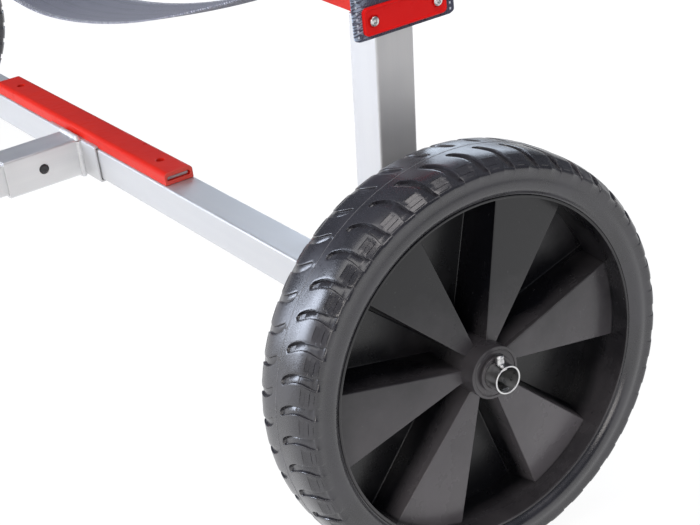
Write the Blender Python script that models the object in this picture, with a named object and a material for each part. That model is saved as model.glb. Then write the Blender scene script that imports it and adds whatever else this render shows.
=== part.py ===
"""Dinghy launching trolley, parked on its two wheels and its handle. Metres, +Z up.

X runs along the axle and the drawbar points to -Y. The frame is modelled about the middle of its
axle, with the drawbar along -Y, and frame_root tips it nose down until the grips touch the ground.
"""

import math

import bmesh
import bpy
from mathutils import Matrix, Vector

# Stance
wheel_radius = 0.185
handle_reach = 2.55  # axle to handle, along the drawbar
gap = 0.0003  # between pieces that touch
running_gap = 0.0003  # between a shaft and its bore

# Square tubes
tube_side = 0.038
tube_wall = 0.003
tube_corner = 0.0025
beam_half = 0.668
sleeve_half = 0.065
sleeve_wall = 0.0027
socket_wall = 0.0032
socket_front = 0.1178  # ahead of the axle
socket_bead = 0.0012
bead_length = 0.0040

# Uprights and the heads on top of them
upright_inset = 0.0333  # its centre line, in from the beam's end
upright_width = 0.040
upright_depth = 0.038
upright_wall = 0.0025
upright_splay = math.radians(2.22)  # outward
upright_bead = 0.0015
head_height = 0.2802  # underside of the head pad, on the upright's centre line
head_pad_inner = 0.075  # inboard of the upright's centre line
bracket_wall = 0.0020
bracket_rise = 0.0140
bracket_drop = 0.0105
bracket_length = 0.094
strap_offset = 0.0074  # the sling's centre, aft of the upright's

# Red hollow pads and the flat bars inside them
pad_width = 0.0346
pad_height = 0.0147
pad_corner = 0.0042
pad_foot_corner = 0.0012
slot_width = 0.0278
slot_height = 0.0042
slot_low = 0.0046
strip_thickness = 0.0030
keel_pad_half = 0.2351
keel_screw_inset = 0.0412  # in from the pad's end
access_radius = 0.0050

# Fasteners
m8_radius = 0.0040
m8_head = 0.0075
m8_head_height = 0.0053
m8_nut_height = 0.0065
bolt_tip = 0.002  # beyond its nut
m6_radius = 0.0030
pad_screw_radius = 0.0024
pad_screw_head = 0.0044
pad_screw_head_height = 0.0024
clamp_screw_radius = 0.0024
clamp_screw_head = 0.0047
clamp_screw_head_height = 0.0021
clamp_screw_length = 0.0140

# Clamp plates on the sling's ends
clamp_length = 0.0818
clamp_height = 0.0235
clamp_thickness = 0.0035
clamp_corner = 0.0045
clamp_rise = 0.0044  # its centre, above the head pad's underside
clamp_offset = 0.0069  # its centre, aft of the upright's
clamp_screw_inset = 0.0093  # in from the plate's end

# Webbing sling
sling_width = 0.100
sling_thickness = 0.0016
sling_low = 0.1743  # its lowest point, above the axle
sling_bow = 0.030  # how broad its rounded bottom is
sling_climb = 1.62  # the power of the distance from its middle by which it climbs
sling_stand = 0.035  # how far it stands up straight above the head pads' underside
sling_bend = 0.016  # radius of its bend above the head pads' ends
sling_drop = 0.0111  # how far its ends hang below the head pads' underside

# Axle and what holds the wheel on it
axle_radius = 0.0125
axle_wall = 0.0015
axle_depth = 0.183  # how far the stub axle reaches into the beam
axle_bolt_inset = 0.078
bush_inner_inset = 0.168
bush_length = 0.025
bush_flange = 0.0020
spacer_wall = 0.0032
spacer_length = 0.0286
hub_half = 0.0393
hub_wall = 0.0090
hub_bush_wall = 0.0014
hub_bush_lip = 0.0016
hub_bush_flange_height = 0.0030
hub_bush_length = 0.022
pin_radius = 0.0037
pin_clearance = 0.0011  # between the pin and the hub's bush
pin_margin = 0.0092  # from the pin to the axle's end
pin_proud = 0.0077
pin_flange = 0.0046
pin_flange_height = 0.0018
leaf_width = 0.0060
leaf_thickness = 0.0008
leaf_reach = 0.032
leaf_bend = 0.0030

# Wheels
wheel_turn = math.radians(2.5)  # of the blades, about the axle
tyre_half = 0.0402
shoulder_drop = 0.0105
crown_power = 3.8
tyre_height = 0.0340  # from the rim's barrel to the crown
lip_half = 0.0360
rim_half = 0.0355
barrel_wall = 0.0028
tread_thickness = 0.0062
sidewall_thickness = 0.0075
bead_width = 0.0090
blade_count = 6
blade_half_angle = math.radians(14)
blade_draft = math.radians(2)
blade_depth_hub = 0.0240  # blade face to wheel centre, at the hub
blade_depth_rim = 0.0172
blade_skin = 0.0030
blade_wall = 0.0025
wheel_steps = 48

# Drawbar, handle and bow support
drawbar_clearance = 0.0052  # behind its end, in the socket
button_reach = 0.0709
button_radius = 0.0054
button_proud = 0.0008
button_flange = 0.0072
button_flange_height = 0.0030
button_leaf_reach = 0.040
handle_radius = 0.0160
handle_wall = 0.0020
handle_half = 0.260
grip_wall = 0.0037
grip_length = 0.132
grip_end = 0.0025
tee_wall = 0.0024
tee_half = 0.030
tee_back = 0.026
plug_length = 0.045
bow_reach = 2.13
bow_collar_half = 0.040
post_side = 0.030
post_wall = 0.0025
bow_height = 0.150
bow_wing = 0.105
bow_wing_angle = math.radians(22)
bow_pad_clearance = 0.0017  # between a pad and the post
boss_radius = 0.0080
boss_length = 0.0060
knob_radius = 0.020
knob_height = 0.014
knob_lobes = 5
knob_gap = 0.002  # between the knob and the boss

grip_radius = handle_radius + gap + grip_wall
tee_radius = handle_radius + 2 * gap + tee_wall
drawbar_slope = math.asin((wheel_radius - grip_radius) / handle_reach)
upright_rake = drawbar_slope  # the uprights stand plumb when the trolley is parked
tube_half = tube_side / 2
beam_top = tube_half + gap
sleeve_side = tube_side + 2 * (gap + sleeve_wall)
socket_side = tube_side + 2 * (gap + socket_wall)
splay_run = math.tan(upright_splay)
rake_run = math.tan(upright_rake)
upright_offset = beam_half - upright_inset
keel_screw_offset = keel_pad_half - keel_screw_inset
clamp_pitch = clamp_length - 2 * clamp_screw_inset
drawbar_start = sleeve_side / 2 + gap + m8_nut_height + bolt_tip + drawbar_clearance

axle_inner_end = beam_half - axle_depth
axle_bolt_offset = beam_half - axle_bolt_inset
bush_inner_start = beam_half - bush_inner_inset
axle_bore = axle_radius + running_gap  # of the bushes and the spacer
spacer_start = beam_half + gap + bush_flange + gap
spacer_end = spacer_start + spacer_length
wheel_offset = spacer_end + gap + hub_bush_flange_height + gap + hub_half
pin_offset = wheel_offset + hub_half + gap + hub_bush_flange_height + pin_clearance + pin_radius
axle_outer_end = pin_offset + pin_margin
pin_top = axle_radius + pin_proud
hub_bush_sleeve = axle_bore + hub_bush_wall
hub_bush_flange = hub_bush_sleeve + hub_bush_lip
hub_bore = hub_bush_sleeve + gap
hub_radius = hub_bore + hub_wall
barrel_radius = wheel_radius - tyre_height
shoulder_radius = wheel_radius - shoulder_drop


def clear_scene():
    for obj in list(bpy.data.objects):
        bpy.data.objects.remove(obj, do_unlink=True)


def material(name, colour, roughness, metallic=0.0):
    made = bpy.data.materials.new(name)
    made.use_nodes = True
    shader = made.node_tree.nodes["Principled BSDF"]
    shader.inputs["Base Color"].default_value = (*colour, 1.0)
    shader.inputs["Roughness"].default_value = roughness
    shader.inputs["Metallic"].default_value = metallic
    made.diffuse_color = (*colour, 1.0)
    return made


def empty(name, parent=None, at=(0, 0, 0), turn=(0, 0, 0)):
    made = bpy.data.objects.new(name, None)
    made.location = at
    made.rotation_euler = turn
    made.parent = parent
    made.empty_display_size = 0.05
    bpy.context.scene.collection.objects.link(made)
    return made


def outline(width, height, corner, foot_corner=None, steps=2, centre=(0.0, 0.0)):
    """A rectangle with rounded corners, anticlockwise from its lower right."""
    foot = corner if foot_corner is None else foot_corner
    points = []
    for sx, sy, start in ((1, -1, -90), (1, 1, 0), (-1, 1, 90), (-1, -1, 180)):
        radius = corner if sy > 0 else foot
        middle = (centre[0] + sx * (width / 2 - radius), centre[1] + sy * (height / 2 - radius))
        for step in range(steps + 1):
            angle = math.radians(start + 90 * step / steps)
            points.append((middle[0] + radius * math.cos(angle), middle[1] + radius * math.sin(angle)))
    return points


def along_x(shape, x):
    return [Vector((x, a, b)) for a, b in shape]


def along_y(shape, y):
    return [Vector((a, y, b)) for a, b in shape]


def circle(x, radius, steps=24, phase=0.0, lobes=0, lobe=0.0):
    """A ring about the X axis, with lobes of the given depth if asked."""
    points = []
    for step in range(steps):
        angle = phase + 2 * math.pi * step / steps
        r = radius - lobe * (1 - math.cos(lobes * angle)) / 2
        points.append(Vector((x, r * math.cos(angle), r * math.sin(angle))))
    return points


def hexagon(x, radius):
    """Twelve points on a hexagon about the X axis, so that it joins a round ring of twelve."""
    flat = radius * math.cos(math.radians(30))
    points = []
    for step in range(12):
        angle = math.radians(30 * step)
        r = flat if step % 2 else radius
        points.append(Vector((x, r * math.cos(angle), r * math.sin(angle))))
    return points


def rod(start, end, radius, steps=16):
    """Rings of a round bar between two points."""
    start, end = Vector(start), Vector(end)
    turn = (end - start).to_track_quat("X", "Z").to_matrix()
    shape = circle(0, radius, steps, phase=math.pi / steps)
    return [[start + turn @ p for p in shape], [end + turn @ p for p in shape]]


def block(low, high):
    """Rings of a plain box."""
    corners = [(low[1], low[2]), (high[1], low[2]), (high[1], high[2]), (low[1], high[2])]
    return [along_x(corners, low[0]), along_x(corners, high[0])]


def mesh_of(name, solids, side):
    """A mesh of closed bodies. Each is (rings, hollow): a hollow body's last ring joins its first."""
    bm = bmesh.new()
    for rings, hollow in solids:
        loops = [[bm.verts.new((side * p.x, p.y, p.z)) for p in ring] for ring in rings]
        count = len(loops[0])
        pairs = list(zip(loops, loops[1:]))
        if hollow:
            pairs.append((loops[-1], loops[0]))
        else:
            bm.faces.new(loops[0])
            bm.faces.new(loops[-1])
        for first, second in pairs:
            for k in range(count):
                n = (k + 1) % count
                bm.faces.new((first[k], first[n], second[n], second[k]))
    bmesh.ops.recalc_face_normals(bm, faces=bm.faces)
    mesh = bpy.data.meshes.new(name)
    bm.to_mesh(mesh)
    bm.free()
    return mesh


def link(name, mesh, parent, at, turn, side):
    obj = bpy.data.objects.new(name, mesh)
    obj.location = (side * at[0], at[1], at[2])
    obj.rotation_euler = (turn[0], side * turn[1], side * turn[2])
    obj.parent = parent
    bpy.context.scene.collection.objects.link(obj)
    return obj


def piece(name, rings, look, parent, hollow=False, at=(0, 0, 0), turn=(0, 0, 0), side=1):
    mesh = mesh_of(name, [(rings, hollow)], side)
    mesh.materials.append(look)
    mesh.shade_smooth()
    mesh.set_sharp_from_angle(angle=math.radians(35))
    return link(name, mesh, parent, at, turn, side)


def helper(name, solids, parent, at=(0, 0, 0), turn=(0, 0, 0), side=1):
    """Bodies that only cut or extend another object."""
    obj = link(name, mesh_of(name, solids, side), parent, at, turn, side)
    obj.hide_render = True
    obj.display_type = "WIRE"
    return obj


def boolean(obj, other, operation):
    step = obj.modifiers.new(other.name, "BOOLEAN")
    step.operation = operation
    step.solver = "EXACT"
    step.object = other


def drill(obj, rods, parent, side=1):
    """Round holes, each (start, end, radius), in the parent's frame."""
    solids = [(rod(start, end, radius), False) for start, end, radius in rods]
    boolean(obj, helper(obj.name + "_holes", solids, parent, side=side), "DIFFERENCE")


def bolt_rings(head, head_height, shank, length):
    return [
        hexagon(-head_height, head),
        hexagon(0, head),
        circle(0, shank, 12),
        circle(length, shank, 12),
    ]


def pan_screw_rings(head, head_height, shank, length):
    return [
        circle(-head_height, 0.60 * head, 16),
        circle(-0.65 * head_height, 0.90 * head, 16),
        circle(0, head, 16),
        circle(0, shank, 16),
        circle(length, shank, 16),
    ]


def nut_rings(radius, height, bore):
    return [hexagon(0, radius), hexagon(height, radius), circle(height, bore, 12), circle(0, bore, 12)]


def pad_rings(start, end):
    """A red hollow pad along X, its underside at z = 0."""
    outer = outline(pad_width, pad_height, pad_corner, pad_foot_corner, 3, (0, pad_height / 2))
    slot_middle = slot_low + slot_height / 2
    slot = outline(slot_width, slot_height, slot_height / 2.2, None, 3, (0, slot_middle))
    return [along_x(outer, start), along_x(outer, end), along_x(slot, end), along_x(slot, start)]


strip_width = slot_width - 2 * gap - 0.0012
strip_low = slot_low + gap
strip_middle = strip_low + strip_thickness / 2


def strip_rings(start, end):
    """The flat bar in a pad's slot, in the pad's frame."""
    shape = outline(strip_width, strip_thickness, 0.0005, None, 1, (0, strip_middle))
    return [along_x(shape, start), along_x(shape, end)]


def build_beam(frame, looks):
    outer = outline(tube_side, tube_side, tube_corner)
    inner = outline(tube_side - 2 * tube_wall, tube_side - 2 * tube_wall, 0.0008)
    rings = [along_x(outer, -beam_half), along_x(outer, beam_half)]
    rings += [along_x(inner, beam_half), along_x(inner, -beam_half)]
    beam = piece("cross_beam", rings, looks["aluminium"], frame, hollow=True)
    bolt_hole = m8_radius + gap
    screw_hole = pad_screw_radius + gap
    holes = [((0, -0.03, 0), (0, 0.03, 0), bolt_hole)]
    for side in (1, -1):
        x = side * axle_bolt_offset
        holes.append(((x, 0, -0.03), (x, 0, 0.03), bolt_hole))
        x = side * keel_screw_offset
        holes.append(((x, 0, 0.01), (x, 0, 0.03), screw_hole))
    drill(beam, holes, frame)


def build_tee(frame, looks):
    inside = tube_side + 2 * gap
    outer = outline(sleeve_side, sleeve_side, tube_corner)
    inner = outline(inside, inside, 0.0006)
    rings = [along_x(outer, -sleeve_half), along_x(outer, sleeve_half)]
    rings += [along_x(inner, sleeve_half), along_x(inner, -sleeve_half)]
    sleeve = piece("tee_sleeve", rings, looks["aluminium"], frame, hollow=True)
    drill(sleeve, [((0, -0.03, 0), (0, 0.03, 0), m8_radius + gap)], frame)

    outer = outline(socket_side, socket_side, tube_corner)
    bead = outline(socket_side + 2 * socket_bead, socket_side + 2 * socket_bead, tube_corner)
    start = -(sleeve_side / 2 + gap)
    rings = [along_y(bead, start), along_y(bead, start - bead_length / 2), along_y(outer, start - bead_length)]
    rings += [along_y(outer, -socket_front), along_y(inner, -socket_front), along_y(inner, start)]
    socket = piece("drawbar_socket", rings, looks["aluminium"], frame, hollow=True)
    drill(socket, [((0.015, -button_reach, 0), (0.03, -button_reach, 0), button_radius + gap)], frame)

    seat = sleeve_side / 2 + gap
    quarter = -math.pi / 2
    rings = bolt_rings(m8_head, m8_head_height, m8_radius, 2 * seat + m8_nut_height + bolt_tip)
    piece("tee_bolt", rings, looks["steel"], frame, at=(0, seat, 0), turn=(0, 0, quarter))
    rings = nut_rings(m8_head, m8_nut_height, m8_radius + gap)
    piece("tee_nut", rings, looks["steel"], frame, hollow=True, at=(0, -seat, 0), turn=(0, 0, quarter))


def build_keel_pad(frame, looks):
    base = (0, 0, beam_top)
    pad = piece("keel_pad", pad_rings(-keel_pad_half, keel_pad_half), looks["red"], frame, hollow=True, at=base)
    relief = sleeve_half + 2 * gap
    relief_top = sleeve_side / 2 + gap - beam_top
    cuts = [(block((-relief, -0.03, -0.01), (relief, 0.03, relief_top)), False)]
    low, high = slot_low + 0.001, slot_low + slot_height - 0.001
    for side in (1, -1):
        x = side * keel_screw_offset
        cuts.append((rod((x, 0, -0.005), (x, 0, low), pad_screw_radius + gap), False))
        cuts.append((rod((x, 0, high), (x, 0, pad_height + 0.005), access_radius, 20), False))
    boolean(pad, helper("keel_pad_cuts", cuts, frame, at=base), "DIFFERENCE")

    inset = 0.0015
    strip = piece("keel_strip", strip_rings(-keel_pad_half + inset, keel_pad_half - inset), looks["aluminium"], frame, at=base)
    top = beam_top + strip_low + strip_thickness
    holes = []
    for side in (1, -1):
        x = side * keel_screw_offset
        holes.append(((x, 0, beam_top), (x, 0, top + 0.005), pad_screw_radius + gap))
    drill(strip, holes, frame)
    length = top + gap - tube_half + tube_wall + 0.004
    rings = pan_screw_rings(pad_screw_head, pad_screw_head_height, pad_screw_radius, length)
    for side, word in ((1, "right"), (-1, "left")):
        at = (keel_screw_offset, 0, top + gap)
        piece("keel_pad_screw_" + word, rings, looks["steel"], frame, at=at, turn=(0, math.pi / 2, 0), side=side)


def head_place():
    """Where an upright's centre line meets the underside of its head pad."""
    return (upright_offset + splay_run * head_height, rake_run * head_height, head_height)


def build_upright(side, word, frame, looks):
    head = Vector(head_place())
    up = Vector((math.sin(upright_splay), 0, math.cos(upright_splay)))

    def level(shape, z):
        return [Vector((upright_offset + splay_run * z + a, rake_run * z + b, z)) for a, b in shape]

    def topped(shape):
        points = []
        for a, b in shape:
            start = Vector((upright_offset + a, b, 0))
            run = Vector((splay_run, rake_run, 1))
            z = ((head - start).dot(up) - gap) / run.dot(up)
            points.append(start + z * run)
        return points

    outer = outline(upright_width, upright_depth, tube_corner)
    bead = outline(upright_width + 2 * upright_bead, upright_depth, tube_corner)
    inner = outline(upright_width - 2 * upright_wall, upright_depth - 2 * upright_wall, 0.0008)
    rings = [level(bead, beam_top), level(bead, beam_top + 0.002), level(outer, beam_top + 0.0035)]
    rings += [topped(outer), topped(inner), level(inner, beam_top)]
    piece("upright_" + word, rings, looks["aluminium"], frame, hollow=True, side=side)


def build_head(side, word, head, looks):
    """The bracket, pad, clamp plate and screws on an upright, in the head's own frame."""
    wall_x = upright_width / 2 + gap
    pad = pad_rings(-head_pad_inner, upright_width / 2)
    piece("head_pad_" + word, pad, looks["red"], head, hollow=True, side=side)

    plate_centre = (strap_offset, (bracket_rise - bracket_drop) / 2)
    shape = outline(bracket_length, bracket_rise + bracket_drop, 0.002, None, 1, plate_centre)
    rings = [along_x(shape, wall_x), along_x(shape, wall_x + bracket_wall)]
    bracket = piece("head_bracket_" + word, rings, looks["aluminium"], head, side=side)
    strip = strip_rings(-head_pad_inner + 0.0015, wall_x + bracket_wall / 2)
    boolean(bracket, helper("head_strip_" + word, [(strip, False)], head, side=side), "UNION")

    face = wall_x + bracket_wall + gap + sling_thickness + gap
    screw_places = []
    for end in (-1, 1):
        screw_places.append((clamp_offset + end * clamp_pitch / 2, clamp_rise))
    hole = clamp_screw_radius + gap
    through = [((0.0, y, z), (0.05, y, z), hole) for y, z in screw_places]
    drill(bracket, through, head, side=side)

    middle = (clamp_offset, clamp_rise)
    full = outline(clamp_length, clamp_height, clamp_corner, None, 3, middle)
    eased = outline(clamp_length - 0.0016, clamp_height - 0.0016, clamp_corner - 0.0008, None, 3, middle)
    rings = [along_x(full, face), along_x(full, face + clamp_thickness - 0.0008), along_x(eased, face + clamp_thickness)]
    plate = piece("clamp_plate_" + word, rings, looks["red"], head, side=side)
    drill(plate, through, head, side=side)

    rings = pan_screw_rings(clamp_screw_head, clamp_screw_head_height, clamp_screw_radius, clamp_screw_length)
    for (y, z), place in zip(screw_places, ("front", "rear")):
        at = (face + clamp_thickness + gap, y, z)
        name = "clamp_screw_" + word + "_" + place
        piece(name, rings, looks["steel"], head, at=at, turn=(0, 0, math.pi), side=side)
    return through


def sling_path():
    """Points (x, z) of half the sling's middle plane, outward, and the height where its bend starts."""
    head = Vector(head_place())
    tip = Matrix.Rotation(upright_splay, 3, "Y")
    outside = upright_width / 2 + gap + bracket_wall + gap + sling_thickness / 2
    lean = math.radians(20)

    def bent(angle):
        x = outside - sling_bend + sling_bend * math.cos(angle)
        place = head + tip @ Vector((x, 0, sling_stand + sling_bend * math.sin(angle)))
        return place.x, place.z

    def climb(x):
        return math.hypot(x, sling_bow) ** sling_climb - sling_bow**sling_climb

    # The bend ends where it runs on into the hanging curve.
    for _ in range(8):
        end_x, end_z = bent(math.pi / 2 + lean)
        rise = (end_z - sling_low) / climb(end_x)
        steep = rise * sling_climb * end_x * math.hypot(end_x, sling_bow) ** (sling_climb - 2)
        lean = math.atan(steep) + upright_splay
    steps = 15
    hanging = []
    for step in range(steps):
        x = end_x * step / steps
        hanging.append((x, sling_low + rise * climb(x)))
    arc = [bent((math.pi / 2 + lean) * (1 - step / 7)) for step in range(8)]
    low = head + tip @ Vector((outside, 0, -sling_drop))
    return hanging + arc + [(low.x, low.z)], end_z


def build_sling(frame, looks):
    """One strap of webbing, clamped at both heads and hanging plumb between them."""
    right, high = sling_path()
    path = [(-x, z) for x, z in reversed(right[1:])] + right
    centre = rake_run * head_height + strap_offset
    rings = []
    for k, (x, z) in enumerate(path):
        before = Vector(path[max(k - 1, 0)])
        after = Vector(path[min(k + 1, len(path) - 1)])
        run = (after - before).normalized()
        sag = max(0.0, (high - z) / (high - sling_low)) if abs(x) < upright_offset - upright_width / 2 else 0.0
        tilt = drawbar_slope * sag
        middle = Vector((x, centre - sag * (high - sling_low) * math.tan(drawbar_slope), z))
        across = Vector((0, math.cos(tilt), -math.sin(tilt))) * sling_width / 2
        out = Vector((-run.y, 0, run.x)) * sling_thickness / 2
        rings.append([middle - across - out, middle + across - out, middle + across + out, middle - across + out])
    return piece("sling", rings, looks["webbing"], frame)


def build_axle(side, word, frame, looks):
    bore = axle_radius - axle_wall
    rings = [circle(axle_inner_end, axle_radius), circle(axle_outer_end, axle_radius)]
    rings += [circle(axle_outer_end, bore), circle(axle_inner_end, bore)]
    axle = piece("stub_axle_" + word, rings, looks["steel"], frame, hollow=True, side=side)
    holes = [
        ((axle_bolt_offset, 0, -0.02), (axle_bolt_offset, 0, 0.02), m8_radius + gap),
        ((pin_offset, 0, 0.005), (pin_offset, 0, 0.02), pin_radius + gap),
    ]
    drill(axle, holes, frame, side=side)

    plug_side = tube_side - 2 * tube_wall - 2 * gap
    shape = outline(plug_side, plug_side, 0.0014, None, 4)
    flange = outline(tube_side, tube_side, tube_corner, None, 4)
    hole = circle(0, axle_bore, len(shape), phase=math.radians(-45))

    def bore_ring(x):
        return [Vector((x, p.y, p.z)) for p in hole]

    start, end = bush_inner_start, bush_inner_start + bush_length
    rings = [along_x(shape, start), along_x(shape, end), bore_ring(end), bore_ring(start)]
    piece("axle_bush_inner_" + word, rings, looks["nylon"], frame, hollow=True, side=side)
    seat = beam_half + gap
    start, end = beam_half - bush_length, seat + bush_flange
    rings = [along_x(shape, start), along_x(shape, seat), along_x(flange, seat), along_x(flange, end)]
    rings += [bore_ring(end), bore_ring(start)]
    piece("axle_bush_outer_" + word, rings, looks["nylon"], frame, hollow=True, side=side)

    bolt_length = 2 * beam_top + m8_nut_height + bolt_tip
    rings = bolt_rings(m8_head, m8_head_height, m8_radius, bolt_length)
    down = (0, math.pi / 2, 0)
    at = (axle_bolt_offset, 0, beam_top)
    piece("axle_bolt_" + word, rings, looks["steel"], frame, at=at, turn=down, side=side)
    rings = nut_rings(m8_head, m8_nut_height, m8_radius + gap)
    at = (axle_bolt_offset, 0, -beam_top)
    piece("axle_nut_" + word, rings, looks["steel"], frame, hollow=True, at=at, turn=down, side=side)

    spacer_radius = axle_bore + spacer_wall
    rings = [circle(spacer_start, spacer_radius), circle(spacer_end, spacer_radius)]
    rings += [circle(spacer_end, axle_bore), circle(spacer_start, axle_bore)]
    piece("axle_spacer_" + word, rings, looks["nylon"], frame, hollow=True, side=side)

    build_axle_pin(side, word, frame, looks)


def build_axle_pin(side, word, frame, looks):
    """The sprung pin that keeps the wheel on, and the bent leaf under it."""
    bore = axle_radius - axle_wall
    flange_top = math.sqrt(bore**2 - pin_flange**2) - gap
    flange_low = flange_top - pin_flange_height
    rings = [
        circle(flange_low, pin_flange, 16),
        circle(flange_top, pin_flange, 16),
        circle(flange_top, pin_radius, 16),
        circle(pin_top - 0.0014, pin_radius, 16),
        circle(pin_top - 0.0004, 0.75 * pin_radius, 16),
        circle(pin_top, 0.35 * pin_radius, 16),
    ]
    upward = (0, -math.pi / 2, 0)
    piece("axle_pin_" + word, rings, looks["steel"], frame, at=(pin_offset, 0, 0), turn=upward, side=side)
    low = -math.sqrt(bore**2 - (leaf_width / 2) ** 2) + gap + leaf_thickness / 2
    path = leaf_path(pin_flange, flange_low - gap - leaf_thickness / 2, low, leaf_reach)
    rings = leaf_rings(path, leaf_width)
    piece("axle_pin_spring_" + word, rings, looks["steel"], frame, at=(pin_offset, 0, 0), side=side)


def leaf_path(seat, high, low, reach):
    """A leaf spring's (along, across) points: flat under the pin, sloping to a bend, then back along the wall."""
    points = [(seat, high), (-seat, high)]
    for step in range(5):
        angle = math.radians(90 + 45 * step)
        middle = (-reach, low + leaf_bend)
        points.append((middle[0] + leaf_bend * math.cos(angle), middle[1] + leaf_bend * math.sin(angle)))
    points.append((seat, low))
    return points


def leaf_rings(path, width):
    rings = []
    for k, (a, b) in enumerate(path):
        before = Vector(path[max(k - 1, 0)])
        after = Vector(path[min(k + 1, len(path) - 1)])
        run = (after - before).normalized()
        off = Vector((-run.y, 0, run.x)) * leaf_thickness / 2
        middle = Vector((a, 0, b))
        across = Vector((0, width / 2, 0))
        rings.append([middle - across - off, middle + across - off, middle + across + off, middle - across + off])
    return rings


def crown(u):
    """The tyre's outer radius at a distance u from its middle."""
    return wheel_radius - (wheel_radius - shoulder_radius) * (abs(u) / tyre_half) ** crown_power


def build_tyre(side, word, wheel, looks):
    seat = barrel_radius + gap
    half = [(u * tyre_half, crown(u * tyre_half)) for u in (0, 0.5, 0.8, 1.0)]
    half += [(tyre_half - 0.0006, (shoulder_radius + seat) / 2), (lip_half, seat), (lip_half - bead_width, seat)]
    inside = tyre_half - sidewall_thickness
    half += [(inside, seat + 0.009), (inside, shoulder_radius - 0.003), (0.55 * tyre_half, wheel_radius - tread_thickness)]
    profile = half + [(-u, r) for u, r in reversed(half[1:])]
    rings = [circle(u, r, wheel_steps, phase=-math.pi / 2) for u, r in profile]
    piece("tyre_" + word, rings, looks["rubber"], wheel, hollow=True, side=side)


def blade_depth(radius):
    share = (radius - hub_radius) / (barrel_radius - hub_radius)
    return blade_depth_hub + share * (blade_depth_rim - blade_depth_hub)


def blade_disc():
    """Rings of the rim's disc: six blades stand forward and six lie back, with steep walls between."""
    period = 2 * math.pi / blade_count
    radii = [hub_radius - 0.0020, 0.040, 0.070, 0.110, barrel_radius - barrel_wall / 2]
    spread = (-1, -0.5, 0, 0.5, 1)

    def ring(radius, front):
        wall = blade_wall / radius
        forward = blade_depth(radius)
        back = -forward
        if front:
            near, far = blade_half_angle, period / 2 - (blade_half_angle + blade_draft) - wall
            back += blade_skin
        else:
            near, far = blade_half_angle - wall, period / 2 - (blade_half_angle + blade_draft)
            forward -= blade_skin
        points = []
        for blade in range(blade_count):
            centre = wheel_turn + drawbar_slope + blade * period
            for share in spread:
                angle = centre + share * near
                points.append(Vector((forward, radius * math.cos(angle), radius * math.sin(angle))))
            for share in spread:
                angle = centre + period / 2 + share * far
                points.append(Vector((back, radius * math.cos(angle), radius * math.sin(angle))))
        return points

    return [ring(r, True) for r in radii] + [ring(r, False) for r in reversed(radii)]


def build_rim(side, word, wheel, looks):
    inner = barrel_radius - barrel_wall
    profile = [(rim_half, inner), (rim_half, barrel_radius), (-rim_half, barrel_radius), (-rim_half, inner)]
    rings = [circle(u, r, wheel_steps, phase=-math.pi / 2) for u, r in profile]
    rim = piece("wheel_rim_" + word, rings, looks["plastic"], wheel, hollow=True, side=side)
    boolean(rim, helper("wheel_disc_" + word, [(blade_disc(), True)], wheel, side=side), "UNION")
    hub = [circle(-hub_half, hub_radius), circle(hub_half, hub_radius)]
    hub += [circle(hub_half, hub_bore), circle(-hub_half, hub_bore)]
    boolean(rim, helper("wheel_hub_" + word, [(hub, True)], wheel, side=side), "UNION")


def build_wheel(side, word, ground, looks):
    wheel = empty("wheel_" + word, ground, at=(side * wheel_offset, 0, 0))
    build_tyre(side, word, wheel, looks)
    build_rim(side, word, wheel, looks)
    face = hub_half + gap
    for end, place in ((1, "outer"), (-1, "inner")):
        profile = [
            (hub_half - hub_bush_length, hub_bush_sleeve),
            (face, hub_bush_sleeve),
            (face, hub_bush_flange),
            (face + hub_bush_flange_height, hub_bush_flange),
            (face + hub_bush_flange_height, axle_bore),
            (hub_half - hub_bush_length, axle_bore),
        ]
        rings = [circle(end * x, r) for x, r in profile]
        piece("hub_bush_" + place + "_" + word, rings, looks["plastic"], wheel, hollow=True, side=side)


def build_drawbar(frame, looks):
    front = handle_reach - tee_back - gap
    outer = outline(tube_side, tube_side, tube_corner)
    inner = outline(tube_side - 2 * tube_wall, tube_side - 2 * tube_wall, 0.0008)
    rings = [along_y(outer, -drawbar_start), along_y(outer, -front)]
    rings += [along_y(inner, -front), along_y(inner, -drawbar_start)]
    drawbar = piece("drawbar", rings, looks["aluminium"], frame, hollow=True)
    drill(drawbar, [((0.01, -button_reach, 0), (0.03, -button_reach, 0), button_radius + gap)], frame)

    flange_top = tube_half - tube_wall - gap
    flange_low = flange_top - button_flange_height
    tip = socket_side / 2 + button_proud
    rings = [
        circle(flange_low, button_flange, 16),
        circle(flange_top, button_flange, 16),
        circle(flange_top, button_radius, 16),
        circle(tip - 0.0016, button_radius, 16),
        circle(tip - 0.0004, 0.80 * button_radius, 16),
        circle(tip, 0.40 * button_radius, 16),
    ]
    piece("drawbar_button", rings, looks["plastic"], frame, at=(0, -button_reach, 0))
    low = -(tube_half - tube_wall) + gap + leaf_thickness / 2
    path = leaf_path(button_radius, flange_low - gap - leaf_thickness / 2, low, button_leaf_reach)
    sideways = (math.pi / 2, 0, math.pi / 2)
    rings = leaf_rings(path, 2 * button_radius)
    piece("drawbar_button_spring", rings, looks["steel"], frame, at=(0, -button_reach, 0), turn=sideways)


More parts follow.
